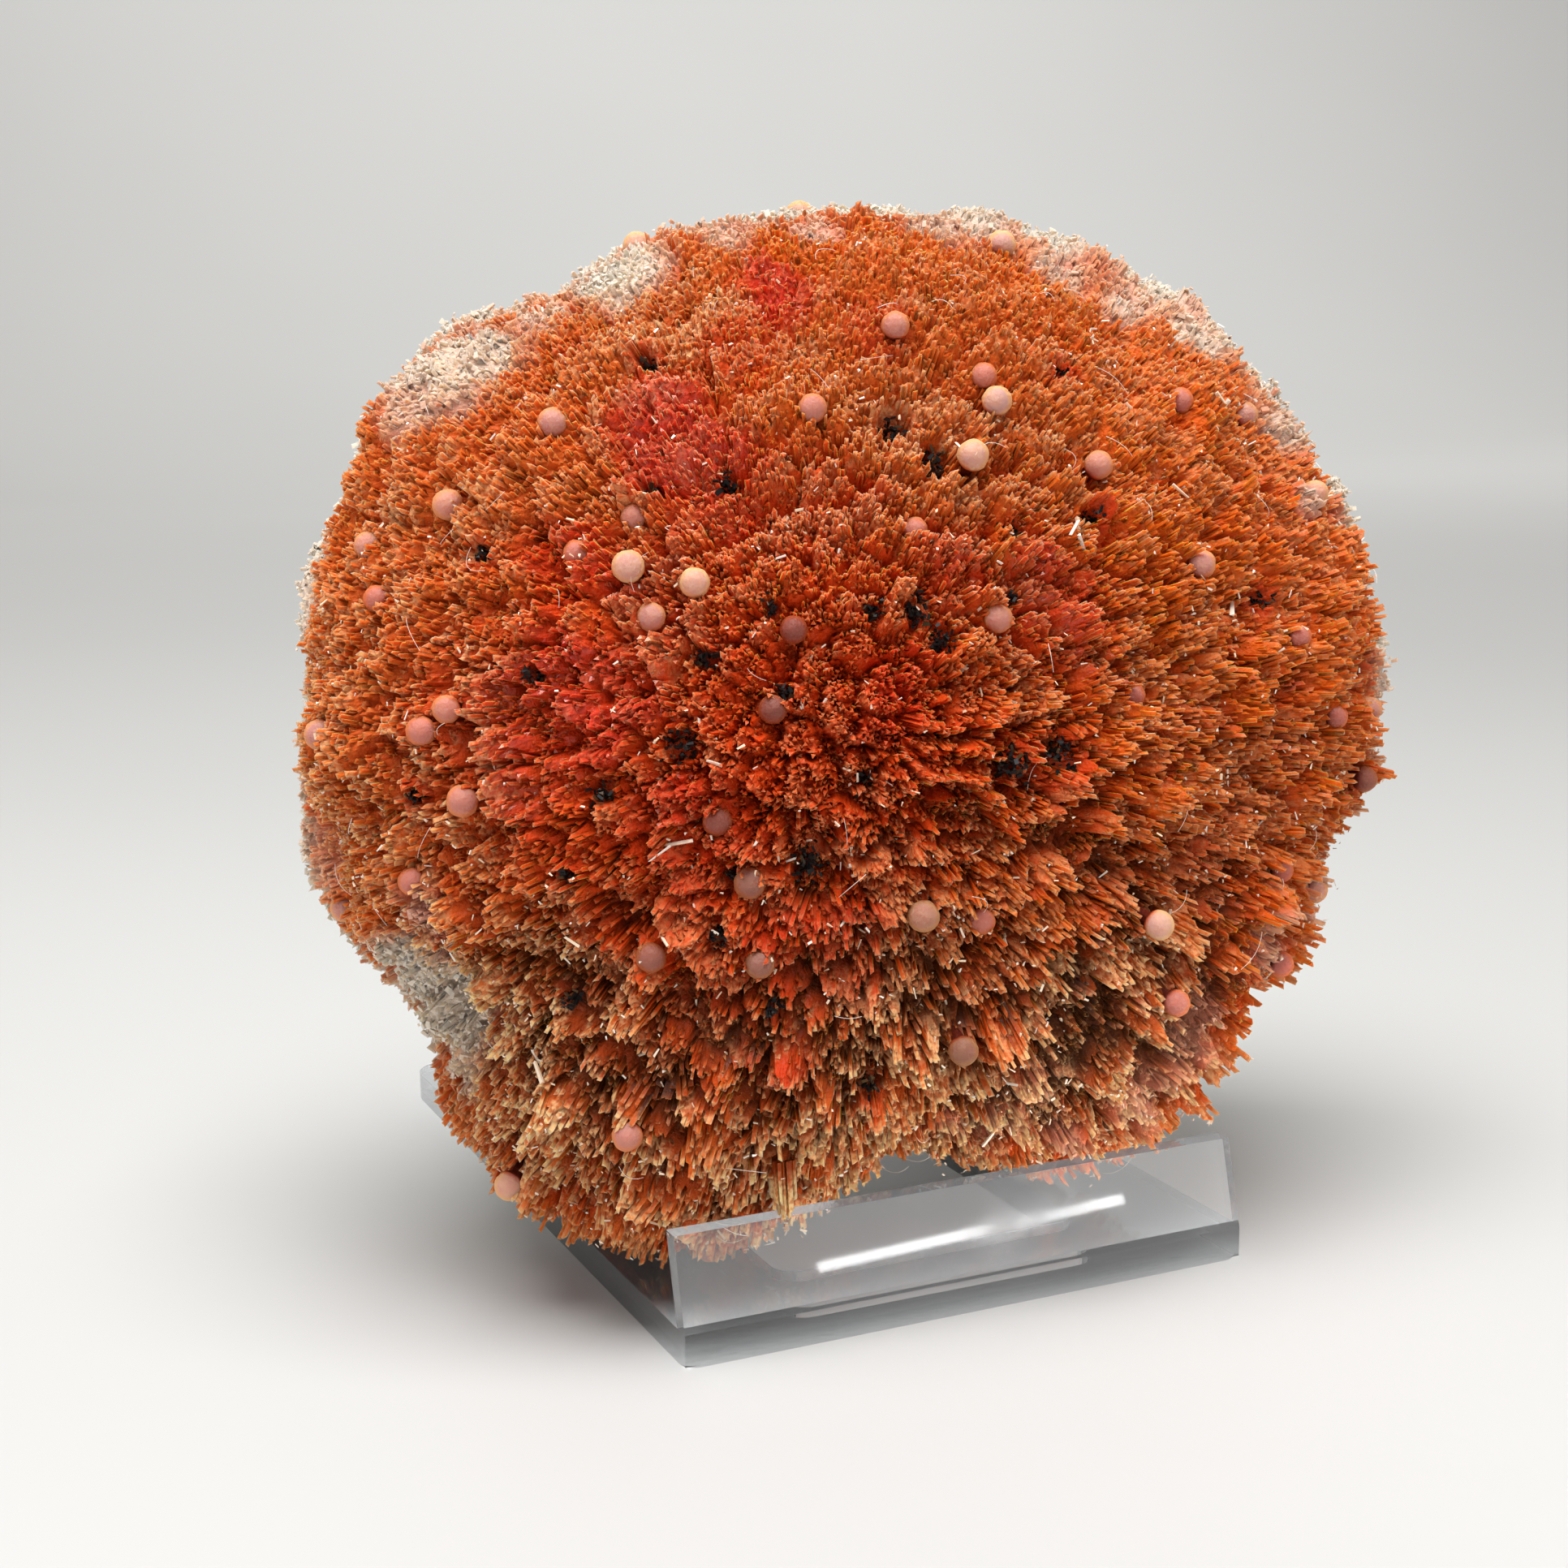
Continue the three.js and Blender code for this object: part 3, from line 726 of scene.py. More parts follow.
def tuft_heights(surface, direction, tufts):
    """Height over the tip surface at its points, the tuft of each point, and how near its crown it is."""
    shaken = surface
    for scale, size in TUFT_WARPS:
        waves = [noise(surface / scale + shift) for shift in WARP_SHIFTS]
        shaken = shaken + size * np.column_stack(waves)
    clump, clump_margin = cells(shaken, tufts["clumps"])
    tuft, tuft_margin = cells(shaken, tufts["tufts"])
    clump_slope = outward_slope(surface, tufts["clumps"][clump])
    tuft_slope = outward_slope(surface, tufts["tufts"][tuft])
    ledges = FINE_LEDGE_LEAST + (1 - FINE_LEDGE_LEAST) * ledge_strength(direction)
    slope = blunt(tufts["clump_rise"][clump] * clump_slope, BLUNT["clump"])
    slope += blunt(tufts["tuft_rise"][tuft] * tuft_slope, BLUNT["tuft"])
    slope += ledges * sawtooth(direction, FINE_LEDGE)
    height = tufts["clump_height"][clump] + tufts["tuft_height"][tuft]
    height -= CREVICE["clump"] * (1 - smoothstep(clump_margin, 0, CREVICE["clump_width"]))
    height -= CREVICE["tuft"] * (1 - smoothstep(tuft_margin, 0, CREVICE["tuft_width"]))
    height -= area_mask(surface, HOLLOWS, shaken[:, 0] - surface[:, 0])
    height *= share_of(CALM["least"], surface)
    height += slope * share_of(CALM["least_slope"], surface)
    back = 1 - smoothstep(level_of(direction), *BACK_RELIEF["levels"])
    low_relief = np.clip(BACK_RELIEF["least"] * height, BACK_RELIEF["low"], BACK_RELIEF["high"])
    height = height * (1 - back) + low_relief * back
    return height, tuft, smoothstep(tuft_slope + CROWN["clump"] * clump_slope, CROWN["from"], CROWN["to"])


def clear_round(height, surface):
    """Lowers the growth round the rods and in the pits."""
    share, depth = ROD_CLEARING["share"], ROD_CLEARING["depth"]
    for kind in RODS.values():
        centres = sighted(kind["places"], kind["depth"])
        height = sink_round(height, surface, centres, share * kind["radius"], kind["depth"] + depth)
    for kind in PITS:
        height = sink_round(height, surface, sighted(kind["places"]), kind["radius"], PIT_DEPTH)
    return height


def sink_round(height, surface, centres, radius, depth):
    """Lowers the growth round given places: to a depth inside the radius, fading out past it."""
    for centre in centres:
        axis = unit(centre - FOCUS)
        offset = surface - centre
        aside = np.linalg.norm(offset - (offset @ axis)[:, None] * axis, axis=1)
        near = np.linalg.norm(offset, axis=1) < PIT_REACH * radius
        inside = (1 - smoothstep(aside, radius, PIT_FADE * radius)) * near
        height = np.where(inside > 0, np.minimum(height, (1 - inside) * height - inside * depth), height)
    return height


def prisms(root, tip, width, ratio, roll, taper, slant):
    """Corners of prisms with a slanted end: those round the root of each, and then those round its tip."""
    axis = unit(tip - root)
    helper = np.where(np.abs(axis[:, 2:]) < STEEP, (0.0, 0.0, 1.0), (1.0, 0.0, 0.0))
    side = unit(np.cross(axis, helper))
    other = np.cross(axis, side)
    cosine, sine = np.cos(roll)[:, None], np.sin(roll)[:, None]
    first = (side * cosine + other * sine) * width[:, None] / 2
    second = (other * cosine - side * sine) * (width * ratio)[:, None] / 2
    turns = [2 * math.pi * k / PRISM_SIDES for k in range(PRISM_SIDES)]
    corners = [(math.cos(turn), math.sin(turn)) for turn in turns]
    low = [root + a * first + b * second for a, b in corners]
    high = []
    for a, b in corners:
        lift = (a * slant[:, 0] + b * slant[:, 1])[:, None]
        high.append(tip + taper[:, None] * (a * first + b * second) + axis * lift)
    return np.stack(low + high, axis=1)


def strewn_prisms(random, root, tip, width, form):
    """Prisms whose ratio, roll, taper and slant are drawn within the limits of a form."""
    count = len(root)
    ratio = random.uniform(*form["ratio"], count)
    roll = random.uniform(0, form["roll"], count)
    taper = random.uniform(*form["taper"], count)
    slant = random.normal(0, form["slant"], (count, 2)) if form["slant"] else np.zeros((count, 2))
    return prisms(root, tip, width, ratio, roll, taper, slant)


def prism_faces():
    """Triangles of one prism: its root, its tip and its sides."""
    faces = []
    for k in range(1, PRISM_SIDES - 1):
        faces += [(0, k + 1, k), (PRISM_SIDES, PRISM_SIDES + k, PRISM_SIDES + k + 1)]
    for k in range(PRISM_SIDES):
        after = (k + 1) % PRISM_SIDES
        faces += [(k, after, PRISM_SIDES + after), (k, PRISM_SIDES + after, PRISM_SIDES + k)]
    return np.array(faces)


def write_values(mesh, values):
    """Stores one number per point for each value that a material reads."""
    for key, numbers in values.items():
        attribute = mesh.attributes.new(key, "FLOAT", "POINT")
        attribute.data.foreach_set("value", numbers.astype(np.float32))


def mesh_piece(name, points, faces, material, slot, **values):
    """One object from points in the frame's millimetres, with values per point for its material."""
    mesh = bpy.data.meshes.new(name)
    mesh.vertices.add(len(points))
    mesh.vertices.foreach_set("co", (points * MM).astype(np.float32).ravel())
    mesh.loops.add(faces.size)
    mesh.loops.foreach_set("vertex_index", faces.astype(np.int32).ravel())
    mesh.polygons.add(len(faces))
    starts = np.arange(0, faces.size, faces.shape[1], dtype=np.int32)
    mesh.polygons.foreach_set("loop_start", starts)
    mesh.update(calc_edges=True)
    mesh.shade_flat()
    write_values(mesh, values)
    mesh.materials.append(material)
    piece = bpy.data.objects.new(name, mesh)
    bpy.context.scene.collection.objects.link(piece)
    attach(piece, BODY)
    return piece


def prism_piece(name, corners, material, **values):
    """A piece of many prisms. A value is given for each corner of a prism, or once for the prism."""
    count, each = corners.shape[:2]
    faces = (np.arange(count)[:, None, None] * each + prism_faces()).reshape(-1, 3)
    spread_values = {}
    for key, numbers in values.items():
        whole = numbers if numbers.ndim == 2 else np.repeat(numbers[:, None], each, axis=1)
        spread_values[key] = whole.ravel()
    return mesh_piece(name, corners.reshape(-1, 3), faces, material, CRYSTAL_SLOT, **spread_values)


def cut_by_stand(root, tip):
    """Where needles meet the stand they end before it. Returns the new tips and which needles are left."""
    free = np.ones(len(root), bool)
    reach = np.zeros(len(root))
    for part in np.linspace(0, 1, CUT_STEPS):
        free &= ~in_stand(to_frame(root + (tip - root) * part))
        reach = np.where(free, part, reach)
    keep = reach > SHORTEST_CUT
    return root + (tip - root) * reach[:, None], keep


def surface_values(points):
    """Masks of the coloured areas at points of the disk's own frame."""
    rough = PATCH_NOISE["reach"] * noise(points / PATCH_NOISE["scale"])
    rim = 1 - smoothstep(points @ PALE_RIM["turned"] + rough, PALE_RIM["pale"], PALE_RIM["coloured"])
    return {
        "red": area_mask(points, RED_PLACES + PIT_STAINS, rough) * (1 - rim),
        "gold": area_mask(points, GOLD_PLACES, rough),
        "tan": area_mask(points, TAN_PLACES, rough),
        "pale": np.maximum(rim, area_mask(points, CREAM_PLACES, rough)),
        "wet": area_mask(points, WET_PLACES, rough),
    }


class CrystalSettings(PropertyGroup):
    needle_count: IntProperty(
        name="Needles", description="How many needles grow on the disk", default=62000, min=1000, max=75000)
    needle_width: FloatProperty(
        name="Needle width", description="Mean width of a needle on the front", default=0.84 * MM,
        unit="LENGTH", min=0.0001)
    orange: FloatVectorProperty(
        name="Orange", description="Main colour of the tufts", default=(0.70, 0.112, 0.010),
        subtype="COLOR", min=0, max=1)
    red: FloatVectorProperty(
        name="Red", description="Colour of the stained middle", default=(0.63, 0.030, 0.007),
        subtype="COLOR", min=0, max=1)
    gold: FloatVectorProperty(
        name="Gold", description="Colour of the long tufts on the right", default=(0.66, 0.098, 0.003),
        subtype="COLOR", min=0, max=1)
    tan: FloatVectorProperty(
        name="Tan", description="Colour of the lower and left tufts", default=(0.66, 0.130, 0.022),
        subtype="COLOR", min=0, max=1)
    cream: FloatVectorProperty(
        name="Cream", description="Colour of the granular rim and back", default=(0.80, 0.66, 0.53),
        subtype="COLOR", min=0, max=1)
    # Partly the shafts' own colour and partly painted shade below the tips.
    deep: FloatVectorProperty(
        name="Deep", description="Colour of the shafts below the tips", default=(0.58, 0.045, 0.004),
        subtype="COLOR", min=0, max=1)
    # Painted shade at the bottom between the tufts.
    crevice: FloatVectorProperty(
        name="Crevice", description="Colour at the bottom between the tufts", default=(0.075, 0.013, 0.003),
        subtype="COLOR", min=0, max=1)
    # Partly the shafts' own colour and partly painted shade below the tips.
    amber: FloatVectorProperty(
        name="Amber", description="Colour of the golden and tan shafts below their tips",
        default=(0.27, 0.034, 0.004), subtype="COLOR", min=0, max=1)
    # Painted shade at the bottom between golden and tan tufts.
    umber: FloatVectorProperty(
        name="Umber", description="Colour at the bottom between golden and tan tufts",
        default=(0.045, 0.013, 0.003), subtype="COLOR", min=0, max=1)
    straw: FloatVectorProperty(
        name="Straw", description="Colour of the needle ends in the tan areas", default=(0.98, 0.54, 0.25),
        subtype="COLOR", min=0, max=1)
    wet: FloatVectorProperty(
        name="Wet", description="Colour of the glossy pink crystal", default=(0.74, 0.09, 0.06),
        subtype="COLOR", min=0, max=1)
    tip: FloatVectorProperty(
        name="Tip", description="Colour of the needle ends", default=(0.78, 0.35, 0.14),
        subtype="COLOR", min=0, max=1)


class StandSettings(PropertyGroup):
    edge: FloatProperty(
        name="Edge rounding", description="Radius of the moulded edges", default=0.4 * MM,
        unit="LENGTH", min=0.0001)


class StageSettings(PropertyGroup):
    floor: FloatVectorProperty(
        name="Floor", description="Colour of the floor", default=(0.60, 0.60, 0.59),
        subtype="COLOR", min=0, max=1)
    key_power: FloatProperty(
        name="Key light", description="Power of the large light above", default=13.4, unit="POWER", min=0)
    left_power: FloatProperty(
        name="Left light", description="Power of the soft light low at the left", default=1.2,
        unit="POWER", min=0)
    low_power: FloatProperty(
        name="Low light", description="Power of the narrow light on the lowest tufts", default=0.014,
        unit="POWER", min=0)
    backdrop_power: FloatProperty(
        name="Backdrop light", description="Power of the light on the back wall", default=40.0,
        unit="POWER", min=0)
    strip_power: FloatProperty(
        name="Strip light", description="Power of the thin light that shines along the lip", default=0.02,
        unit="POWER", min=0)
    sky: FloatProperty(
        name="Sky", description="Strength of the even light from all round", default=0.40, min=0)
    sky_in_glass: FloatProperty(
        name="Sky in glass", description="Strength of the even light seen through the plastic", default=0.9,
        min=0)


class Graph:
    """Adds nodes to a tree. What a socket is given may be a number, a colour or another node's socket."""

    def __init__(self, tree):
        self.tree = tree

    def give(self, node, sockets):
        for socket, value in sockets.items():
            if isinstance(value, bpy.types.NodeSocket):
                self.tree.links.new(value, node.inputs[socket])
            else:
                node.inputs[socket].default_value = value

    def add(self, kind, sockets=None, **settings):
        node = self.tree.nodes.new(kind)
        for name, value in settings.items():
            setattr(node, name, value)
        self.give(node, sockets or {})
        return node

    def mix(self, factor, first, second, blend="MIX"):
        sockets = dict(zip(MIX_SOCKETS, (factor, first, second)))
        return self.add("ShaderNodeMix", sockets, data_type="RGBA", blend_type=blend).outputs[MIXED_COLOUR]

    def steps(self, value, low, high, start=0.0, end=1.0):
        sockets = {"Value": value, "From Min": low, "From Max": high, "To Min": start, "To Max": end}
        return self.add("ShaderNodeMapRange", sockets, interpolation_type="SMOOTHSTEP").outputs[0]

    def math(self, operation, first, second):
        return self.add("ShaderNodeMath", {0: first, 1: second}, operation=operation).outputs[0]

    def times(self, first, second):
        return self.math("MULTIPLY", first, second)

    def value(self, name):
        return self.add("ShaderNodeAttribute", attribute_name=name).outputs["Fac"]

    def noise(self, kind):
        place = self.add("ShaderNodeTexCoord").outputs["Object"]
        sockets = {"Vector": place, "Scale": kind["scale"], "Detail": kind["detail"]}
        return self.add("ShaderNodeTexNoise", sockets).outputs[0]

    def fine(self, name):
        """Fine noise of a named kind, read with its steps."""
        return self.steps(self.noise(FINE_NOISES[name]), *FINE_NOISES[name]["steps"])

    def skin(self, kind, crumbs):
        """Normals of a rough skin, with its height in millimetres."""
        sockets = {"Strength": kind["strength"], "Distance": crumbs * MM, "Height": self.noise(kind)}
        return self.add("ShaderNodeBump", sockets).outputs[0]


def crystal_group():
    """Colour of grown crystal: stained by area, with painted shade that darkens it with depth between the
    tufts, paler at the tips.
    """
    tree = bpy.data.node_groups.new(CRYSTAL_GROUP, "ShaderNodeTree")
    for name in CRYSTAL_VALUES:
        tree.interface.new_socket(name, in_out="INPUT", socket_type="NodeSocketFloat")
    for name in CRYSTAL_COLOURS:
        tree.interface.new_socket(f"{name} colour", in_out="INPUT", socket_type="NodeSocketColor")
    tree.interface.new_socket("mixed", in_out="OUTPUT", socket_type="NodeSocketColor")
    graph = Graph(tree)
    given = graph.add("NodeGroupInput").outputs
    body = graph.mix(given["gold"], given["orange colour"], given["gold colour"])
    for name in ("tan", "red"):
        body = graph.mix(given[name], body, given[f"{name} colour"])
    body = graph.mix(graph.times(given["wet"], SHADE["wet"]), body, given["wet colour"])
    body = graph.mix(given["pale"], body, given["cream colour"])
    body = graph.mix(1.0, body, graph.steps(given["tone"], *SHADE["tone"]), "MULTIPLY")
    kept = graph.steps(given["pale"], *SHADE["kept"])
    brown = graph.math("MAXIMUM", graph.times(given["gold"], SHADE["brown_gold"]), given["tan"])
    depth = graph.math("ADD", given["depth"], graph.times(brown, SHADE["brown_depth"]))
    # Painted shade: darker deeper between the tufts, darkest at the bottom.
    below = graph.times(kept, graph.steps(depth, *SHADE["below"]))
    body = graph.mix(below, body, graph.mix(brown, given["deep colour"], given["amber colour"]))
    bottom = graph.times(kept, graph.steps(depth, *SHADE["bottom"]))
    body = graph.mix(bottom, body, graph.mix(brown, given["crevice colour"], given["umber colour"]))
    bare = graph.steps(given["tan"], *SHADE["bare"])
    bare = graph.math("SUBTRACT", bare, graph.times(given["gold"], SHADE["bare_gold"]))
    near_tip = graph.times(graph.steps(given["tip"], *SHADE["tip"]), bare)
    near_tip = graph.times(near_tip, graph.steps(given["depth"], *SHADE["sunk_tip"]))
    stained = graph.math("MAXIMUM", given["red"], given["pale"])
    near_tip = graph.times(near_tip, graph.steps(stained, *SHADE["stained_tip"]))
    body = graph.mix(near_tip, body, graph.mix(given["tan"], given["tip colour"], given["straw colour"]))
    graph.add("NodeGroupOutput", {"mixed": body})
    return tree


def opaque(colour):
    return (*colour, 1.0)


def new_material(name, finish):
    """A material with its Graph and its shader, which has been given a finish."""
    material = bpy.data.materials.new(name)
    material.use_nodes = True
    graph = Graph(material.node_tree)
    shader = material.node_tree.nodes["Principled BSDF"]
    graph.give(shader, finish)
    return material, graph, shader


def crystal_material(name, look):
    """A kind of crystal: the group's colour with light scattered inside it."""
    kind = CRYSTAL_KINDS[name]
    material, graph, shader = new_material(name, CRYSTAL_FINISH)
    values = {key: graph.value(key) for key in CRYSTAL_VALUES}
    wet = values["wet"]
    values["tone"] = graph.math("ADD", values["tone"], graph.fine("tone"))
    values["tip"] = graph.times(values["tip"], graph.fine("tip"))
    colours = {f"{key} colour": opaque(getattr(look, key)) for key in CRYSTAL_COLOURS}
    group = bpy.data.node_groups.get(CRYSTAL_GROUP) or crystal_group()
    mixed = graph.add("ShaderNodeGroup", values | colours, node_tree=group).outputs["mixed"]
    satin = graph.steps(wet, 0.0, 1.0, kind["roughness"], WET_ROUGHNESS)
    graph.give(shader, {
        "Base Color": mixed,
        "Roughness": graph.math("SUBTRACT", satin, graph.times(graph.fine("glint"), GLINT_GLOSS)),
        "Normal": graph.skin(CRYSTAL_SKIN, kind["crumbs"]),
        "Specular IOR Level": kind["specular"],
        "Coat Weight": graph.steps(wet, *WET_COAT),
        "Subsurface Weight": kind["scattered"],
    })
    return material


def bead_material():
    """Rod of the same mineral: lilac inside, with a paler cream rim, stained like the crystal round it, with
    painted shade on its stem and where it lies in shade.
    """
    material, graph, shader = new_material("Bead", BEAD_FINISH)
    stain = graph.value("stain")
    heart = graph.mix(graph.value("lilac"), BEAD_COLOURS["heart"], BEAD_COLOURS["lilac"])
    heart = graph.mix(graph.times(graph.fine("cloud"), BEAD_CLOUDED), heart, BEAD_COLOURS["cloud"])
    facing = graph.add("ShaderNodeLayerWeight", {"Blend": BEAD_FACING}).outputs["Facing"]
    rim = graph.steps(facing, *BEAD_RIM)
    pale = graph.mix(rim, heart, BEAD_COLOURS["rim"])
    stained = graph.mix(rim, BEAD_COLOURS["stained_heart"], BEAD_COLOURS["stained_rim"])
    # Rods in shaded places are darkened by a painted shade.
    shade = graph.mix(graph.value("dim"), BEAD_COLOURS["lit"], BEAD_COLOURS["dim"])
    colour = graph.mix(1.0, graph.mix(stain, pale, stained), shade, "MULTIPLY")
    # The stem below the ball gets a painted shade.
    colour = graph.mix(graph.steps(stain, *BEAD_NECK), colour, BEAD_COLOURS["neck"])
    graph.give(shader, {"Base Color": colour, "Normal": graph.skin(BEAD_SKIN, BEAD_CRUMBS)})
    return material


def speck_material():
    """Black mineral grains with glossy faces and a few brown ones."""
    material, graph, shader = new_material("Black speck", SPECK_FINISH)
    brown = graph.steps(graph.value("tone"), *SPECK_BROWN)
    graph.give(shader, {"Base Color": graph.mix(brown, *SPECK_COLOURS)})
    return material


def splinter_material():
    """White broken splinters, some of them stained peach; the many small ones are also painted glints."""
    material, graph, shader = new_material("White splinter", SPLINTER_FINISH)
    graph.give(shader, {"Base Color": graph.mix(graph.value("tone"), *SPLINTER_COLOURS)})
    return material


def plastic_material():
    """Clear moulded plastic, a little worn."""
    material, graph, shader = new_material("Clear plastic", PLASTIC_FINISH)
    graph.give(shader, {"Roughness": graph.fine("wear")})
    is_shadow = graph.add("ShaderNodeLightPath").outputs["Is Shadow Ray"]
    thin = graph.add("ShaderNodeBsdfTransparent", {"Color": PLASTIC_SHADOW})
    through = graph.add("ShaderNodeMixShader", {0: is_shadow, 1: shader.outputs[0], 2: thin.outputs[0]})
    graph.give(graph.tree.nodes["Material Output"], {"Surface": through.outputs[0]})
    return material


def floor_material(colour):
    material, graph, shader = new_material("Floor", FLOOR_FINISH)
    shaded = graph.mix(1.0, opaque(colour), graph.fine("floor"), "MULTIPLY")
    graph.give(shader, {"Base Color": shaded})
    return material


def active_piece(name):
    piece = bpy.context.active_object
    piece.name = name
    piece.data.name = name
    return piece


def deselect_all():
    bpy.ops.object.select_all(action="DESELECT")


def select_in(piece, kind, is_wanted):
    """Opens the active piece for editing and selects only the corners, edges or faces that are wanted."""
    bpy.ops.object.mode_set(mode="EDIT")
    bpy.ops.mesh.select_mode(type=kind)
    bpy.ops.mesh.select_all(action="DESELECT")
    mesh = bmesh.from_edit_mesh(piece.data)
    for part in {"VERT": mesh.verts, "EDGE": mesh.edges, "FACE": mesh.faces}[kind]:
        part.select = is_wanted(part)
    mesh.select_flush_mode()
    bmesh.update_edit_mesh(piece.data)


def corners_of(piece):
    """The corners of a piece's mesh, one row each."""
    corners = np.zeros(len(piece.data.vertices) * 3)
    piece.data.vertices.foreach_get("co", corners)
    return corners.reshape(-1, 3)


def block(name, low, high):
    """A box between two corners given in millimetres from the stand's origin."""
    low, high = (np.array(corner) + STAND_ORIGIN for corner in (low, high))
    deselect_all()
    bpy.ops.mesh.primitive_cube_add(size=1, location=(low + high) / 2 * MM, scale=(high - low) * MM)
    piece = active_piece(name)
    bpy.ops.object.transform_apply(location=True, rotation=True, scale=True)
    return piece


def round_edges(piece, axis, low, high, radius):
    """Rounds the edges that run along an axis and lie between two corners, in millimetres from the origin."""

    def is_between(edge):
        first, second = (np.array(vertex.co) / MM - STAND_ORIGIN for vertex in edge.verts)
        middle = (first + second) / 2
        runs = np.argmax(np.abs(second - first)) == axis
        return bool(runs and np.all(middle > low) and np.all(middle < high))

    select_in(piece, "EDGE", is_between)
    bpy.ops.mesh.bevel(offset=radius * MM, segments=CORNER_SEGMENTS, affect="EDGES")
    bpy.ops.object.mode_set(mode="OBJECT")


def combine(piece, tool, operation):
    """Joins another block to a piece or cuts it out, and removes the tool."""
    deselect_all()
    piece.select_set(True)
    bpy.context.view_layer.objects.active = piece
    modifier = piece.modifiers.new(operation.lower(), "BOOLEAN")
    modifier.object = tool
    modifier.operation = operation
    modifier.solver = "EXACT"
    bpy.ops.object.modifier_apply(modifier=modifier.name)
    bpy.data.objects.remove(tool)


def front_lip(half):
    """Upright strip along the front edge, whose upper part leans back."""
    lip = block("lip", (-half, 0, CLEARANCE), (half, LIP["thickness"], BASE_THICKNESS))
    select_in(lip, "FACE", lambda face: face.normal.z > UPWARDS)
    rise = Vector((0, LIP["lean"], LIP["height"] - BASE_THICKNESS)) * MM
    bpy.ops.mesh.extrude_region_move(TRANSFORM_OT_translate={"value": rise})
    bpy.ops.object.mode_set(mode="OBJECT")
    return lip


def back_frame():
    """Upright plate behind the disk with a window in it."""
    half, front = BACK_FRAME["half"], BACK_FRAME["front"]
    back = front + BACK_FRAME["thickness"]
    plate = block("frame", (-half, front, FRAME_ROOT), (half, back, STAND_HEIGHT))
    low = (-half - SELECT_MARGIN, front - CUTTER_REACH, STAND_HEIGHT - SELECT_MARGIN)
    high = (half + SELECT_MARGIN, back + SELECT_MARGIN, STAND_HEIGHT + SELECT_MARGIN)
    round_edges(plate, 1, low, high, BACK_WINDOW["corner"])
    half, top = BACK_WINDOW["half"], BACK_WINDOW["top"]
    window = block("window", (-half, front - CUTTER_REACH, BASE_THICKNESS), (half, back + CUTTER_REACH, top))
    low = (-half - SELECT_MARGIN, front - CUTTER_REACH, top - SELECT_MARGIN)
    high = (half + SELECT_MARGIN, back + CUTTER_REACH, top + SELECT_MARGIN)
    round_edges(window, 1, low, high, BACK_WINDOW["corner"])
    combine(plate, window, "DIFFERENCE")
    return plate


class SCOLECITE_OT_stand(Operator):
    """Model the clear stand: base plate with its opening, front lip and back frame"""

    bl_idname = "scolecite.stand"
    bl_label = "Clear stand"

    def execute(self, context):
        half, deep = STAND_WIDTH / 2, BASE_DEPTH
        stand = block("clear_stand", (-half, 0, 0), (half, deep, BASE_THICKNESS))
        for edge, corner in ((deep, BACK_CORNER), (0, FRONT_CORNER)):
            low = (-half - SELECT_MARGIN, edge - SELECT_MARGIN, -SELECT_MARGIN)
            high = (half + SELECT_MARGIN, edge + SELECT_MARGIN, BASE_THICKNESS)
            round_edges(stand, 2, low, high, corner)
        wide = BASE_OPENING["half"]
        low = (-wide, BASE_OPENING["front"], -CUTTER_REACH)
        high = (wide, BASE_OPENING["back"], BASE_THICKNESS + CUTTER_REACH)
        opening = block("opening", low, high)
        low, high = np.array(low) - SELECT_MARGIN, np.array(high) + SELECT_MARGIN
        round_edges(opening, 2, low, high, BASE_OPENING["corner"])
        combine(stand, opening, "DIFFERENCE")
        combine(stand, front_lip(half), "UNION")
        combine(stand, back_frame(), "UNION")
        bpy.ops.object.mode_set(mode="EDIT")
        bpy.ops.mesh.select_all(action="SELECT")
        bpy.ops.mesh.remove_doubles(threshold=MERGE_DISTANCE * MM)
        bpy.ops.mesh.dissolve_limited(angle_limit=FLAT_ANGLE)
        bpy.ops.object.mode_set(mode="OBJECT")
        bevel = stand.modifiers.new("moulded edges", "BEVEL")
        bevel.width = context.scene.scolecite_stand.edge
        bevel.segments = EDGE_SEGMENTS
        bevel.limit_method = "ANGLE"
        bevel.angle_limit = EDGE_LEAST_ANGLE
        bevel.harden_normals = True
        bpy.ops.object.modifier_apply(modifier=bevel.name)
        stand.data.materials.append(plastic_material())
        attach(stand, BODY)
        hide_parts(STAND_NODE)
        return {"FINISHED"}


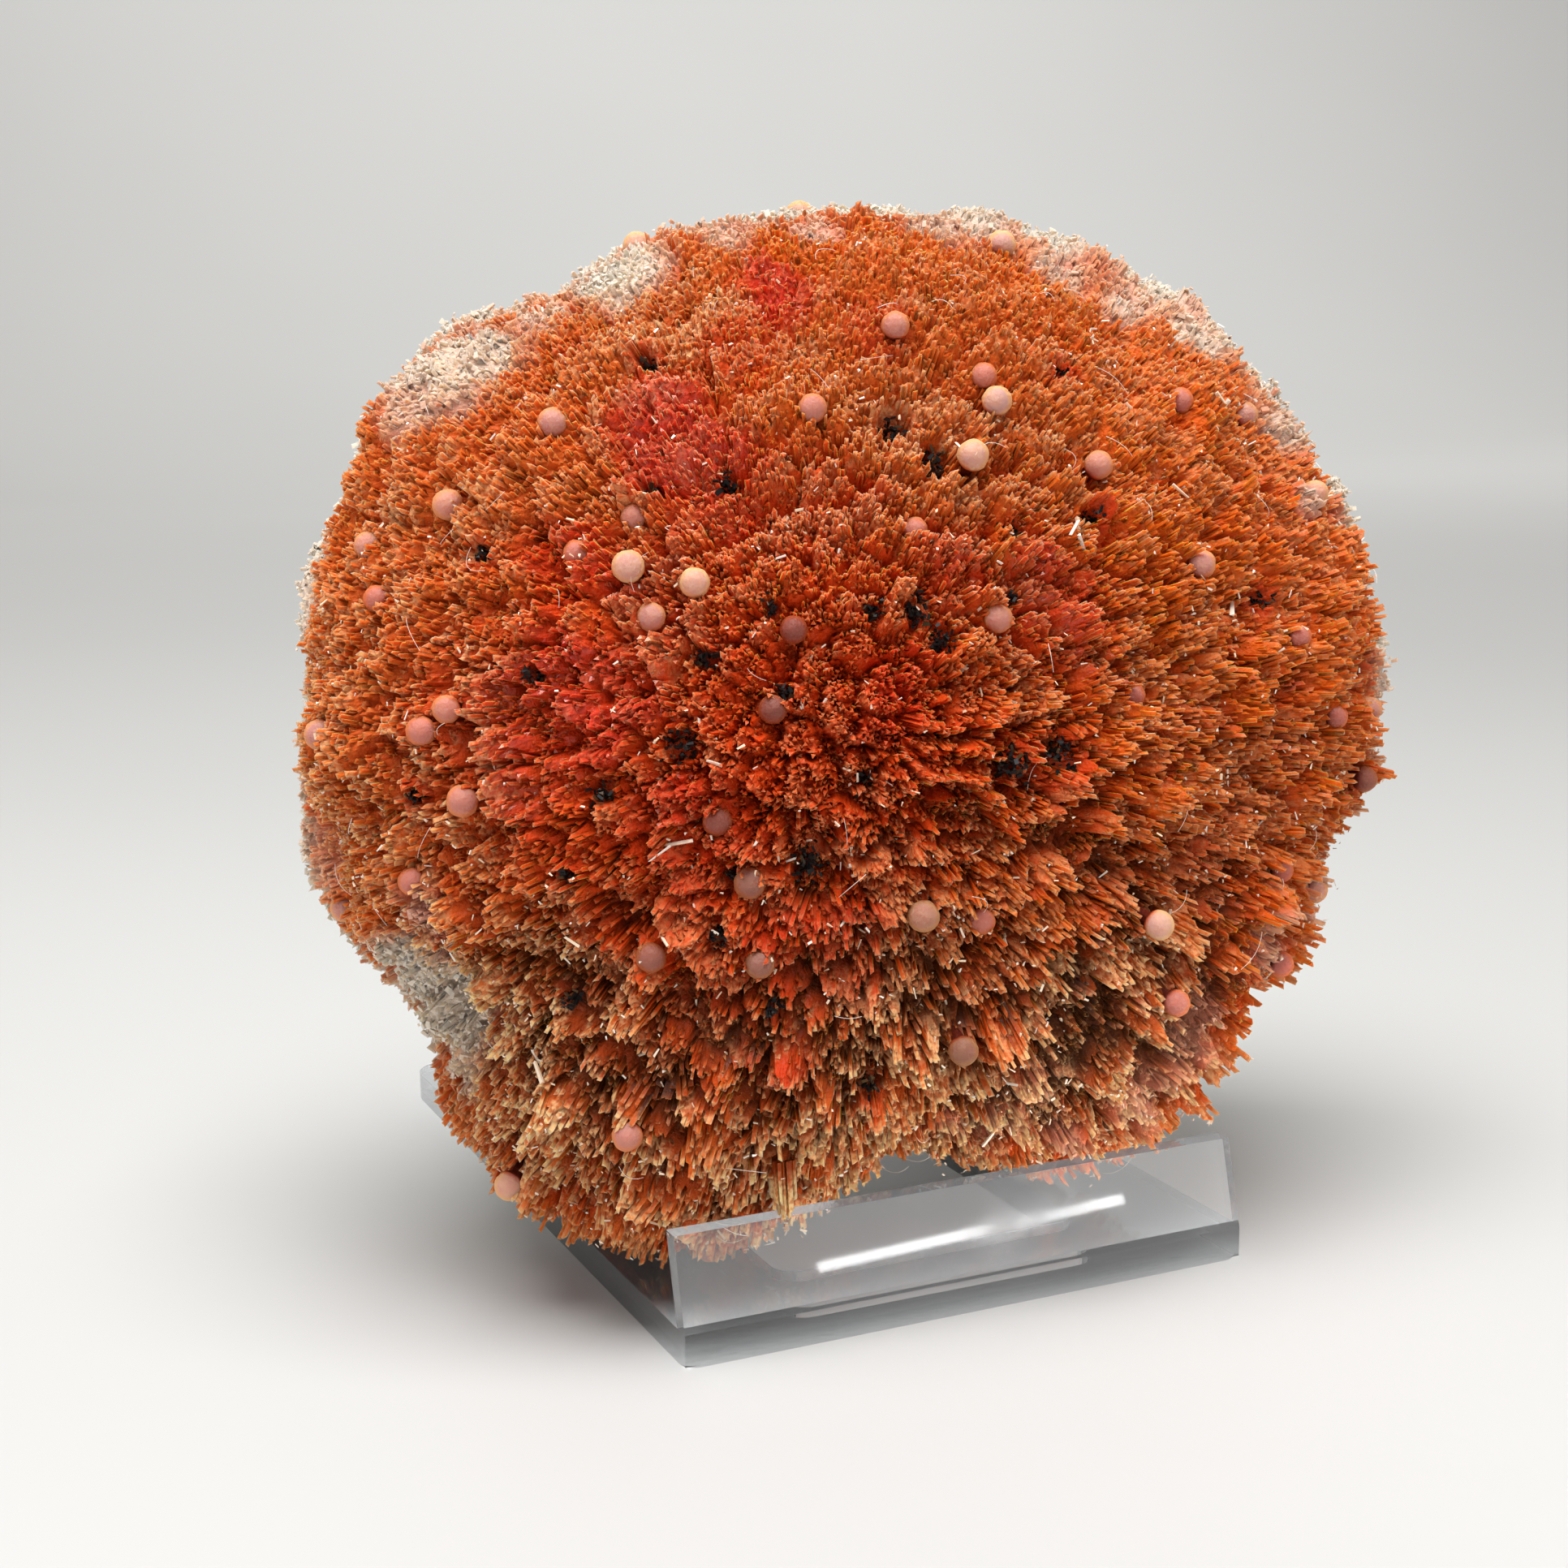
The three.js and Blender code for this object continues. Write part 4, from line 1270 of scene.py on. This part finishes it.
class SCOLECITE_OT_core(Operator):
    """Model the body that the needles stand on, dark with painted shade"""

    bl_idname = "scolecite.core"
    bl_label = "Crystal core"

    def execute(self, context):
        deselect_all()
        bpy.ops.mesh.primitive_ico_sphere_add(subdivisions=CORE_SUBDIVISIONS, radius=1, location=(0, 0, 0))
        core = active_piece("crystal_core")
        ball = corners_of(core)
        ball[:, 2] *= np.where(ball[:, 2] > 0, FRONT_DEPTH, BACK_DEPTH) / MEAN_RADIUS
        direction = unit(ball)
        depth = np.interp(level_of(direction), CORE_DEPTH_BLEND, (BACK_CORE_DEPTH, CORE_DEPTH))
        radius = tip_radius(direction) - depth
        size, height = CORE_LUMPS
        radius += height * noise(direction * radius[:, None] / size)
        for _ in range(CORE_STEPS_BACK):
            blocked = in_stand(to_frame(direction * radius[:, None]))
            radius = np.where(blocked, radius - STEP_BACK, radius)
        points = direction * radius[:, None]
        core.data.vertices.foreach_set("co", (to_frame(points) * MM).ravel())
        core.data.update()
        core.data.shade_flat()
        values = surface_values(points)
        # The core's depth gives it the darkest painted shade.
        values["depth"] = depth
        values["tip"] = np.zeros(len(points))
        values["tone"] = CORE_TONE["middle"] + CORE_TONE["swing"] * noise(points / CORE_TONE["scale"])
        write_values(core.data, values)
        core.data.materials.append(crystal_material("Crystal core", context.scene.scolecite_crystal))
        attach(core, BODY)
        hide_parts(DISK_NODE)
        return {"FINISHED"}


def sheet_faces(rows, columns):
    """Quads over a net of points, and the loop of points round it, both counter-clockwise from outside."""
    index = np.arange(rows * columns).reshape(rows, columns)
    quads = np.stack((index[:-1, :-1], index[1:, :-1], index[1:, 1:], index[:-1, 1:]), axis=-1)
    loop = np.concatenate((index[:-1, 0], index[-1, :-1], index[:0:-1, -1], index[0, :0:-1]))
    return quads.reshape(-1, 4), loop


def closed_sheet(rows, columns, points, roots, values):
    """Closes a net of outer points with walls down to its edge's root points and a floor inside the disk."""
    quads, loop = sheet_faces(rows, columns)
    spread_values = {}
    for key, numbers in values.items():
        spread_values[key] = np.concatenate((numbers, numbers[loop], numbers[loop[:1]]))
    count = len(points)
    low = count + np.arange(len(loop))
    walls = np.column_stack((np.roll(loop, -1), loop, low, np.roll(low, -1)))
    middle = np.full(len(loop) // 2, count + len(loop))
    fan = np.column_stack((middle, np.roll(low, -2)[::2], np.roll(low, -1)[::2], low[::2]))
    rim = roots[loop]
    whole = np.concatenate((points, rim, rim.mean(axis=0, keepdims=True)))
    return whole, np.concatenate((quads, walls, fan)), spread_values


class SCOLECITE_OT_mass(Operator):
    """Grow the fused crystal mass between the needles, in four quarters"""

    bl_idname = "scolecite.mass"
    bl_label = "Crystal mass"

    def execute(self, context):
        random = np.random.default_rng(SEEDS["mass"])
        direction = net(MASS_POINTS)
        surface = on_tips(direction)
        axis = unit(surface - FOCUS)
        tufts = grow_tufts()
        height, tuft, crown = tuft_heights(surface, direction, tufts)
        values = surface_values(surface)
        height -= MASS_SUNK["least"] + MASS_SUNK["rugged"] * ruggedness(surface)
        height += np.maximum(MASS_SUNK["red"] * values["red"], MASS_SUNK["pale"] * values["pale"])
        lumps = sum(lump * noise(surface / size) for size, lump in MASS_LUMPS)
        height += lumps * share_of(MASS_LUMPS_LEAST, surface)
        height += random.normal(0, MASS_GRAIN, len(surface))
        height = clear_round(height, surface)
        inside = smoothstep(level_of(direction), MASS_EDGE["from"], MASS_EDGE["to"])
        height -= MASS_EDGE["depth"] * (1 - inside)
        height = limited(height)
        for _ in range(MASS_STEPS_BACK):
            height -= STEP_BACK * in_stand(to_frame(surface + axis * height[:, None]))
        # The depth below the tips drives the painted shade of the colour, weaker in the smooth areas.
        values["depth"] = -height * share_of(CALM["least_shade"], surface)
        values["tip"] = MASS_TIP_SHARE * crown
        values["tone"] = MASS_TONE["least"] + MASS_TONE["tuft"] * tufts["tone"][tuft]
        values["tone"] += MASS_TONE["swing"] * noise(surface / MASS_TONE["scale"])
        points = to_frame(surface + axis * height[:, None])
        roots = to_frame(surface - axis * ROOT_DEPTH)
        material = crystal_material("Crystal mass", context.scene.scolecite_crystal)
        side = MASS_POINTS + 1
        half = MASS_POINTS // 2 + 1
        index = np.arange(side * side).reshape(side, side)
        corners = ((0, half - 1), (0, 0), (half - 1, half - 1), (half - 1, 0))
        for name, (row, column) in zip(QUARTERS, corners):
            chosen = index[row:row + half, column:column + half].ravel()
            part = {key: numbers[chosen] for key, numbers in values.items()}
            sheet, faces, part = closed_sheet(half, half, points[chosen], roots[chosen], part)
            mesh_piece(f"mass_{name}", sheet, faces, material, CRYSTAL_SLOT, **part)
        return {"FINISHED"}


class SCOLECITE_OT_needles(Operator):
    """Grow the needle tufts in six sectors"""

    bl_idname = "scolecite.needles"
    bl_label = "Needle tufts"

    def execute(self, context):
        look = context.scene.scolecite_crystal
        random = np.random.default_rng(SEEDS["needles"])
        direction, density = spread(look.needle_count)
        direction = unit(direction + random.normal(0, NEEDLE_FORM["shake"], direction.shape))
        surface = on_tips(direction)
        tufts = grow_tufts()
        height, tuft, crown = tuft_heights(surface, direction, tufts)
        count = len(surface)
        drop = NEEDLE_DROP["least"] + NEEDLE_DROP["rugged"] * ruggedness(surface)
        drop = np.minimum(np.abs(random.normal(0, 1, count)) * drop, NEEDLE_DROP["most"])
        height = limited(clear_round(height + NEEDLE_DROP["proud"] - drop, surface))
        lean = tufts["lean"][tuft] + random.normal(0, NEEDLE_LEAN, (count, 3))
        axis = unit(unit(surface - FOCUS) + lean)
        root = surface - axis * ROOT_DEPTH
        tip, keep = cut_by_stand(root, surface + axis * height[:, None])
        thinner = np.sqrt(density)
        width = look.needle_width / MM / thinner * random.uniform(*NEEDLE_FORM["width"], count)
        ratio = random.uniform(*NEEDLE_FORM["ratio"], count)
        roll = tufts["roll"][tuft] + random.normal(0, TUFT_ROLL, count)
        taper = random.uniform(*NEEDLE_FORM["taper"], count)
        slant = random.normal(0, NEEDLE_FORM["slant"], (count, 2)) / thinner[:, None]
        corners = to_frame(prisms(root, tip, width, ratio, roll, taper, slant))
        masks = surface_values(surface)
        tone = NEEDLE_TONE["tuft"] * tufts["tone"][tuft] + random.uniform(0, NEEDLE_TONE["most"], count)
        masks["tone"] = np.clip(tone, 0, 1)
        ends = TIP_PARTS * LENGTHWAYS - (TIP_PARTS - 1)
        masks["tip"] = ends * (TIP_LEAST + (1 - TIP_LEAST) * crown)[:, None]
        masks["tip"] *= share_of(CALM["least_tip"], surface)[:, None]
        reach = np.linalg.norm(tip - root, axis=1)
        # The depth below the tips drives the painted shade of the colour, weaker in the smooth areas.
        masks["depth"] = ROOT_DEPTH - LENGTHWAYS * reach[:, None]
        masks["depth"] *= share_of(CALM["least_shade"], surface)[:, None]
        angle = np.degrees(np.arctan2(surface[:, 1], surface[:, 0]))
        sector = ((angle + SECTOR_ANGLE / 2) % 360 // SECTOR_ANGLE).astype(int)
        material = crystal_material("Needle crystal", look)
        for i, name in enumerate(SECTORS):
            chosen = keep & (sector == i)
            values = {key: numbers[chosen] for key, numbers in masks.items()}
            prism_piece(f"needles_{name}", corners[chosen], material, **values)
        return {"FINISHED"}


class SCOLECITE_OT_grains(Operator):
    """Strew the blunt grains of the pale crust over the rim and the back"""

    bl_idname = "scolecite.grains"
    bl_label = "Crust grains"

    def execute(self, context):
        random = np.random.default_rng(SEEDS["grains"])
        direction = random.normal(0, 1, (GRAIN_TRIES * GRAIN_COUNT, 3))
        direction = unit(direction * (MEAN_RADIUS, MEAN_RADIUS, BACK_DEPTH))
        surface = on_tips(direction)
        tries = len(surface)
        wanted = surface_values(surface)["pale"] > random.uniform(GRAIN_LEAST_PALE, 1, tries)
        wanted &= (direction[:, 2] > GRAIN_LOWEST) | (random.uniform(0, 1, tries) < GRAINS_BEHIND)
        direction, surface = direction[wanted][:GRAIN_COUNT], surface[wanted][:GRAIN_COUNT]
        count = len(surface)
        height, _, _ = tuft_heights(surface, direction, grow_tufts())
        sunk = random.uniform(*GRAIN_SUNK, count)
        middle = surface + unit(surface - FOCUS) * (limited(height) - sunk)[:, None]
        size = random.uniform(*GRAIN_SIZE, count)
        reach = unit(random.normal(0, 1, (count, 3))) * size[:, None] / 2
        width = size * random.uniform(*GRAIN_WIDTH, count)
        corners = to_frame(strewn_prisms(random, middle - reach, middle + reach, width, GRAIN_FORM))
        keep = ~np.any([in_stand(corners[:, k]) for k in range(corners.shape[1])], axis=0)
        masks = surface_values(surface)
        masks["tone"] = random.uniform(*GRAIN_TONE, count)
        masks["tip"] = np.zeros(count)
        # How sunk a grain is gives its painted shade.
        masks["depth"] = sunk
        material = crystal_material("Crust grain", context.scene.scolecite_crystal)
        values = {key: numbers[keep] for key, numbers in masks.items()}
        prism_piece("crust_grains", corners[keep], material, **values)
        return {"FINISHED"}


class SCOLECITE_OT_hanging_tuft(Operator):
    """Grow the bundle of needles that hangs over the stand's lip"""

    bl_idname = "scolecite.hanging_tuft"
    bl_label = "Hanging tuft"

    def execute(self, context):
        look = context.scene.scolecite_crystal
        random = np.random.default_rng(SEEDS["hanging_tuft"])
        columns, rows, length = (HANGING_TUFT[key] for key in ("columns", "rows", "length"))
        along = unit(np.array((0, -HANGING_TUFT["forwards"], -1.0)))
        middle = to_frame(sighted(HANGING_TUFT["seen"]))[0]
        side = unit(np.cross(along, (0, 1.0, 0)))
        outwards = np.cross(along, side)
        places = np.array(list(itertools.product(range(columns), range(rows))))
        places = places - ((columns - 1) / 2, (rows - 1) / 2)
        count = len(places)
        places = places + random.normal(0, HANGING_TUFT["shake"], places.shape)
        aside = places @ np.array((side, outwards)) * HANGING_TUFT["apart"]
        away = np.abs(places[:, 0]) / columns
        root = middle + aside - along * length / 2
        lengths = length * (1 - HANGING_TUFT["shorter_aside"] * away)
        lengths = lengths * random.uniform(*HANGING_TUFT["lengths"], count)
        width = look.needle_width / MM * random.uniform(*HANGING_TUFT["widths"], count)
        corners = strewn_prisms(random, root, root + along * lengths[:, None], width, HANGING_FORM)
        masks = surface_values(to_disk(middle + aside))
        masks["tone"] = random.uniform(*HANGING_TUFT["tone"], count)
        masks["tip"] = LENGTHWAYS * np.ones((count, 1))
        # Painted shade, darker towards the root.
        masks["depth"] = HANGING_TUFT["depth"] * (1 - masks["tip"])
        prism_piece("hanging_tuft", corners, crystal_material("Hanging needle", look), **masks)
        return {"FINISHED"}


class SCOLECITE_OT_beads(Operator):
    """Model the rods whose round ends show between the tufts"""

    bl_idname = "scolecite.beads"
    bl_label = "Bead rods"

    def execute(self, context):
        random = np.random.default_rng(SEEDS["beads"])
        deselect_all()
        bpy.ops.mesh.primitive_uv_sphere_add(
            segments=ROD_MODEL["around"], ring_count=ROD_MODEL["rings"], radius=1, location=(0, 0, 0))
        model = active_piece("bead_model")
        select_in(model, "VERT", lambda vertex: vertex.co.z < ROD_NECK)
        bpy.ops.transform.translate(value=(0, 0, -ROD_LENGTH))
        bpy.ops.object.mode_set(mode="OBJECT")
        shape = corners_of(model)
        rods = [(place, kind) for kind in RODS.values() for place in sighted(kind["places"], kind["depth"])]
        # How strongly each rod gets a painted shade where it lies in shade.
        dim = area_mask(np.array([place for place, _ in rods]), DIM_PLACES, np.zeros(len(rods)))
        in_neck = 1 - smoothstep(shape[:, 2], ROD_NECK_SHADE["from"], ROD_NECK_SHADE["to"])
        copies = []
        for i, (place, kind) in enumerate(rods):
            axes = np.array(Vector(unit(place - FOCUS)).to_track_quat("Z", "Y").to_matrix())
            lumps = noise(shape * ROD_LUMPS["scale"] + ROD_LUMPS["apart"] * i)
            radius = kind["radius"] * random.uniform(*ROD_SIZES)
            points = to_frame(place + (shape * (1 + ROD_LUMPS["height"] * lumps)[:, None] * radius) @ axes.T)
            copy = model.copy()
            copy.data = model.data.copy()
            copy.data.vertices.foreach_set("co", (points * MM).ravel())
            stain = np.full(len(shape), random.uniform(*kind["stain"]))
            # The stem's value gives it the painted shade.
            stain += (ROD_NECK_SHADE["stain"] - stain) * in_neck
            values = {"stain": stain, "lilac": np.full(len(shape), random.uniform(0, 1))}
            values["dim"] = np.full(len(shape), dim[i])
            write_values(copy.data, values)
            context.scene.collection.objects.link(copy)
            copies.append(copy)
        bpy.data.objects.remove(model)
        deselect_all()
        for copy in copies:
            copy.select_set(True)
        context.view_layer.objects.active = copies[0]
        bpy.ops.object.join()
        beads = active_piece("bead_rods")
        bpy.ops.object.shade_smooth()
        beads.data.materials.append(bead_material())
        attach(beads, BODY)
        return {"FINISHED"}


class SCOLECITE_OT_specks(Operator):
    """Scatter the black mineral grains in their pits"""

    bl_idname = "scolecite.specks"
    bl_label = "Black specks"

    def execute(self, context):
        random = np.random.default_rng(SEEDS["specks"])
        roots = []
        for place, kind in [(place, kind) for kind in PITS for place in sighted(kind["places"])]:
            axis = unit(place - FOCUS)
            offset = random.normal(0, kind["radius"] * SPECK_SPREAD, (kind["specks"], 3))
            offset -= (offset @ axis)[:, None] * axis
            depth = random.uniform(*SPECK_DEPTH, kind["specks"])
            roots.append(place + offset - axis * depth[:, None])
        root = np.concatenate(roots)
        count = len(root)
        turn = unit(random.normal(0, 1, (count, 3)))
        length = random.uniform(*SPECK_LENGTH, count)
        width = length * random.uniform(*SPECK_WIDTH, count)
        corners = to_frame(strewn_prisms(random, root, root + turn * length[:, None], width, SPECK_FORM))
        prism_piece("black_specks", corners, speck_material(), tone=random.uniform(0, 1, count))
        return {"FINISHED"}


class SCOLECITE_OT_splinters(Operator):
    """Lay the broken white splinters on the tips, many small ones as painted glints"""

    bl_idname = "scolecite.splinters"
    bl_label = "White splinters"

    def execute(self, context):
        random = np.random.default_rng(SEEDS["splinters"])
        direction = random.normal(0, 1, (SHARD_COUNT, 3))
        direction[:, 2] = np.abs(direction[:, 2])
        direction = unit(direction * (MEAN_RADIUS, MEAN_RADIUS, FRONT_DEPTH))
        direction = np.concatenate((direction, unit(sighted(SHARD_PLACES))))
        place = on_tips(direction)
        count = len(place)
        large = count - SHARD_COUNT
        height, _, crown = tuft_heights(place, direction, grow_tufts())
        axis = unit(place - FOCUS)
        turn = np.cross(axis, random.normal(0, 1, (count, 3)))
        turn = unit(turn + axis * random.normal(0, SHARD_TILT, (count, 1)))
        length = SHARD_LENGTH["least"] + SHARD_LENGTH["more"] * random.uniform(0, 1, count)
        length = length + random.uniform(0, 1, count) ** SHARD_LENGTH["rarity"]
        length[SHARD_COUNT:] = random.uniform(*LARGE_SHARD_LENGTH, large)
        middle = place + axis * (limited(height) + random.uniform(*SHARD_HEIGHT, count))[:, None]
        reach = turn * length[:, None] / 2
        width = random.uniform(*SHARD_WIDTH, count)
        width[SHARD_COUNT:] = random.uniform(*LARGE_SHARD_WIDTH, large)
        corners = to_frame(strewn_prisms(random, middle - reach, middle + reach, width, SHARD_FORM))
        wanted = crown * share_of(SHARD_LEAST, place) > random.uniform(0, 1, count)
        wanted[SHARD_COUNT:] = True
        keep = wanted & ~in_stand(corners.mean(axis=1))
        tone = random.uniform(0, 1, count)
        prism_piece("white_splinters", corners[keep], splinter_material(), tone=tone[keep])
        return {"FINISHED"}


class SCOLECITE_OT_fibres(Operator):
    """Lay the thin curved fibres on the tips"""

    bl_idname = "scolecite.fibres"
    bl_label = "Fibres"

    def execute(self, context):
        random = np.random.default_rng(SEEDS["fibres"])
        direction = random.normal(0, 1, (FIBRE_COUNT, 3))
        direction[:, 2] = np.abs(direction[:, 2]) + FIBRE_FORWARDS
        direction = unit(direction * (MEAN_RADIUS, MEAN_RADIUS, FRONT_DEPTH))
        part = np.linspace(-0.5, 0.5, FIBRE_POINTS)
        height = FIBRE_HEIGHT["middle"] - FIBRE_HEIGHT["droop"] * part**2
        turns = np.arange(FIBRE_SIDES) * 2 * math.pi / FIBRE_SIDES
        points, faces = [], []
        for start in on_tips(direction):
            axis = unit(start)
            along = unit(np.cross(axis, random.normal(0, 1, 3)))
            bend = np.cross(axis, along)
            length, curl = random.uniform(*FIBRE_LENGTH), random.uniform(-FIBRE_CURL, FIBRE_CURL)
            line = start + along * (part * length)[:, None] + bend * (part**2 * curl * length)[:, None]
            line += axis * height[:, None]
            base = len(points) * FIBRE_POINTS * FIBRE_SIDES
            ring = np.stack([bend * math.cos(turn) + axis * math.sin(turn) for turn in turns])
            points.append((line[:, None, :] + FIBRE_RADIUS * ring[None]).reshape(-1, 3))
            for i, k in itertools.product(range(FIBRE_POINTS - 1), range(FIBRE_SIDES)):
                low = base + FIBRE_SIDES * i + k
                next_low = base + FIBRE_SIDES * i + (k + 1) % FIBRE_SIDES
                high, next_high = low + FIBRE_SIDES, next_low + FIBRE_SIDES
                faces += [(low, next_low, next_high), (low, next_high, high)]
            last = base + FIBRE_SIDES * (FIBRE_POINTS - 1)
            faces += [(base + 2, base + 1, base), (last, last + 1, last + 2)]
        points = to_frame(np.concatenate(points))
        tone = np.zeros(len(points))
        mesh_piece("fibres", points, np.array(faces), splinter_material(), CRYSTAL_SLOT, tone=tone)
        return {"FINISHED"}


def soft_light(name, power, context):
    """One rectangular light of the stage. A narrow one leaves no highlights."""
    kind = LIGHTS[name]
    data = bpy.data.lights.new(name, "AREA")
    data.shape = "RECTANGLE"
    data.size, data.size_y = kind["size"]
    data.energy = power
    data.spread = math.radians(kind["spread"])
    light = bpy.data.objects.new(name, data)
    light.location = kind["place"]
    towards = Vector(kind["target"]) - Vector(kind["place"])
    light.rotation_euler = towards.to_track_quat("-Z", "Y").to_euler()
    light.visible_camera = False
    light.visible_glossy = kind["spread"] == WIDE_OPEN
    context.scene.collection.objects.link(light)


class SCOLECITE_OT_stage(Operator):
    """Set up the pale floor, the soft lights and the camera"""

    bl_idname = "scolecite.stage"
    bl_label = "Stage"

    def execute(self, context):
        look = context.scene.scolecite_stage
        deselect_all()
        bpy.ops.mesh.primitive_plane_add(size=FLOOR["size"], location=(0, 0, 0))
        floor = active_piece("floor")
        back, low = FLOOR["size"] / 2 - FLOOR["margin"], FLOOR["margin"]
        select_in(floor, "EDGE", lambda edge: all(v.co.y > back for v in edge.verts))
        bpy.ops.mesh.extrude_region_move(TRANSFORM_OT_translate={"value": (0, 0, FLOOR["wall"])})
        select_in(floor, "EDGE", lambda edge: all(v.co.y > back and v.co.z < low for v in edge.verts))
        bpy.ops.mesh.bevel(offset=FLOOR["bend"], segments=FLOOR["bend_segments"], affect="EDGES")
        bpy.ops.object.mode_set(mode="OBJECT")
        bpy.ops.object.shade_smooth()
        floor.data.materials.append(floor_material(look.floor))
        for name in LIGHTS:
            soft_light(name, getattr(look, f"{name}_power"), context)
        world = bpy.data.worlds.new("Studio")
        world.use_nodes = True
        graph = Graph(world.node_tree)
        through = graph.add("ShaderNodeLightPath").outputs["Is Transmission Ray"]
        strength = graph.steps(through, 0.0, 1.0, look.sky, look.sky_in_glass)
        graph.give(world.node_tree.nodes["Background"], {"Color": SKY_COLOUR, "Strength": strength})
        context.scene.world = world
        data = bpy.data.cameras.new("camera")
        data.sensor_width = SENSOR_WIDTH
        data.lens = FOCAL_PIXELS / PICTURE_SIZE * SENSOR_WIDTH
        data.clip_start = NEAREST_SEEN
        camera = bpy.data.objects.new("camera", data)
        camera.matrix_world = Matrix.Translation(Vector(EYE * MM)) @ eye_axes().to_4x4()
        context.scene.collection.objects.link(camera)
        context.scene.camera = camera
        context.scene.view_settings.view_transform = "Standard"
        context.scene.cycles.diffuse_bounces = DIFFUSE_BOUNCES
        return {"FINISHED"}


PIECE_OPERATORS = (
    SCOLECITE_OT_stage, SCOLECITE_OT_stand, SCOLECITE_OT_core, SCOLECITE_OT_mass, SCOLECITE_OT_needles,
    SCOLECITE_OT_grains, SCOLECITE_OT_hanging_tuft, SCOLECITE_OT_beads, SCOLECITE_OT_specks,
    SCOLECITE_OT_splinters, SCOLECITE_OT_fibres,
)


class SCOLECITE_PT_panel(Panel):
    """Buttons for the pieces of the disk and its stage"""

    bl_label = "Scolecite disk"
    bl_idname = "SCOLECITE_PT_panel"
    bl_space_type = "VIEW_3D"
    bl_region_type = "UI"
    bl_category = "Scolecite"

    def draw(self, context):
        for settings in (context.scene.scolecite_crystal, context.scene.scolecite_stand,
                         context.scene.scolecite_stage):
            for name in settings.__annotations__:
                self.layout.prop(settings, name)
        for operator in PIECE_OPERATORS:
            self.layout.operator(operator.bl_idname)


CLASSES = (CrystalSettings, StandSettings, StageSettings, *PIECE_OPERATORS, SCOLECITE_PT_panel)


def register():
    for one in CLASSES:
        bpy.utils.register_class(one)
    bpy.types.Scene.scolecite_crystal = PointerProperty(type=CrystalSettings)
    bpy.types.Scene.scolecite_stand = PointerProperty(type=StandSettings)
    bpy.types.Scene.scolecite_stage = PointerProperty(type=StageSettings)


def unregister():
    del bpy.types.Scene.scolecite_crystal
    del bpy.types.Scene.scolecite_stand
    del bpy.types.Scene.scolecite_stage
    for one in reversed(CLASSES):
        bpy.utils.unregister_class(one)


def main():
    register()
    for operator in PIECE_OPERATORS:
        family, name = operator.bl_idname.split(".")
        getattr(getattr(bpy.ops, family), name)()


if __name__ == "__main__":
    main()
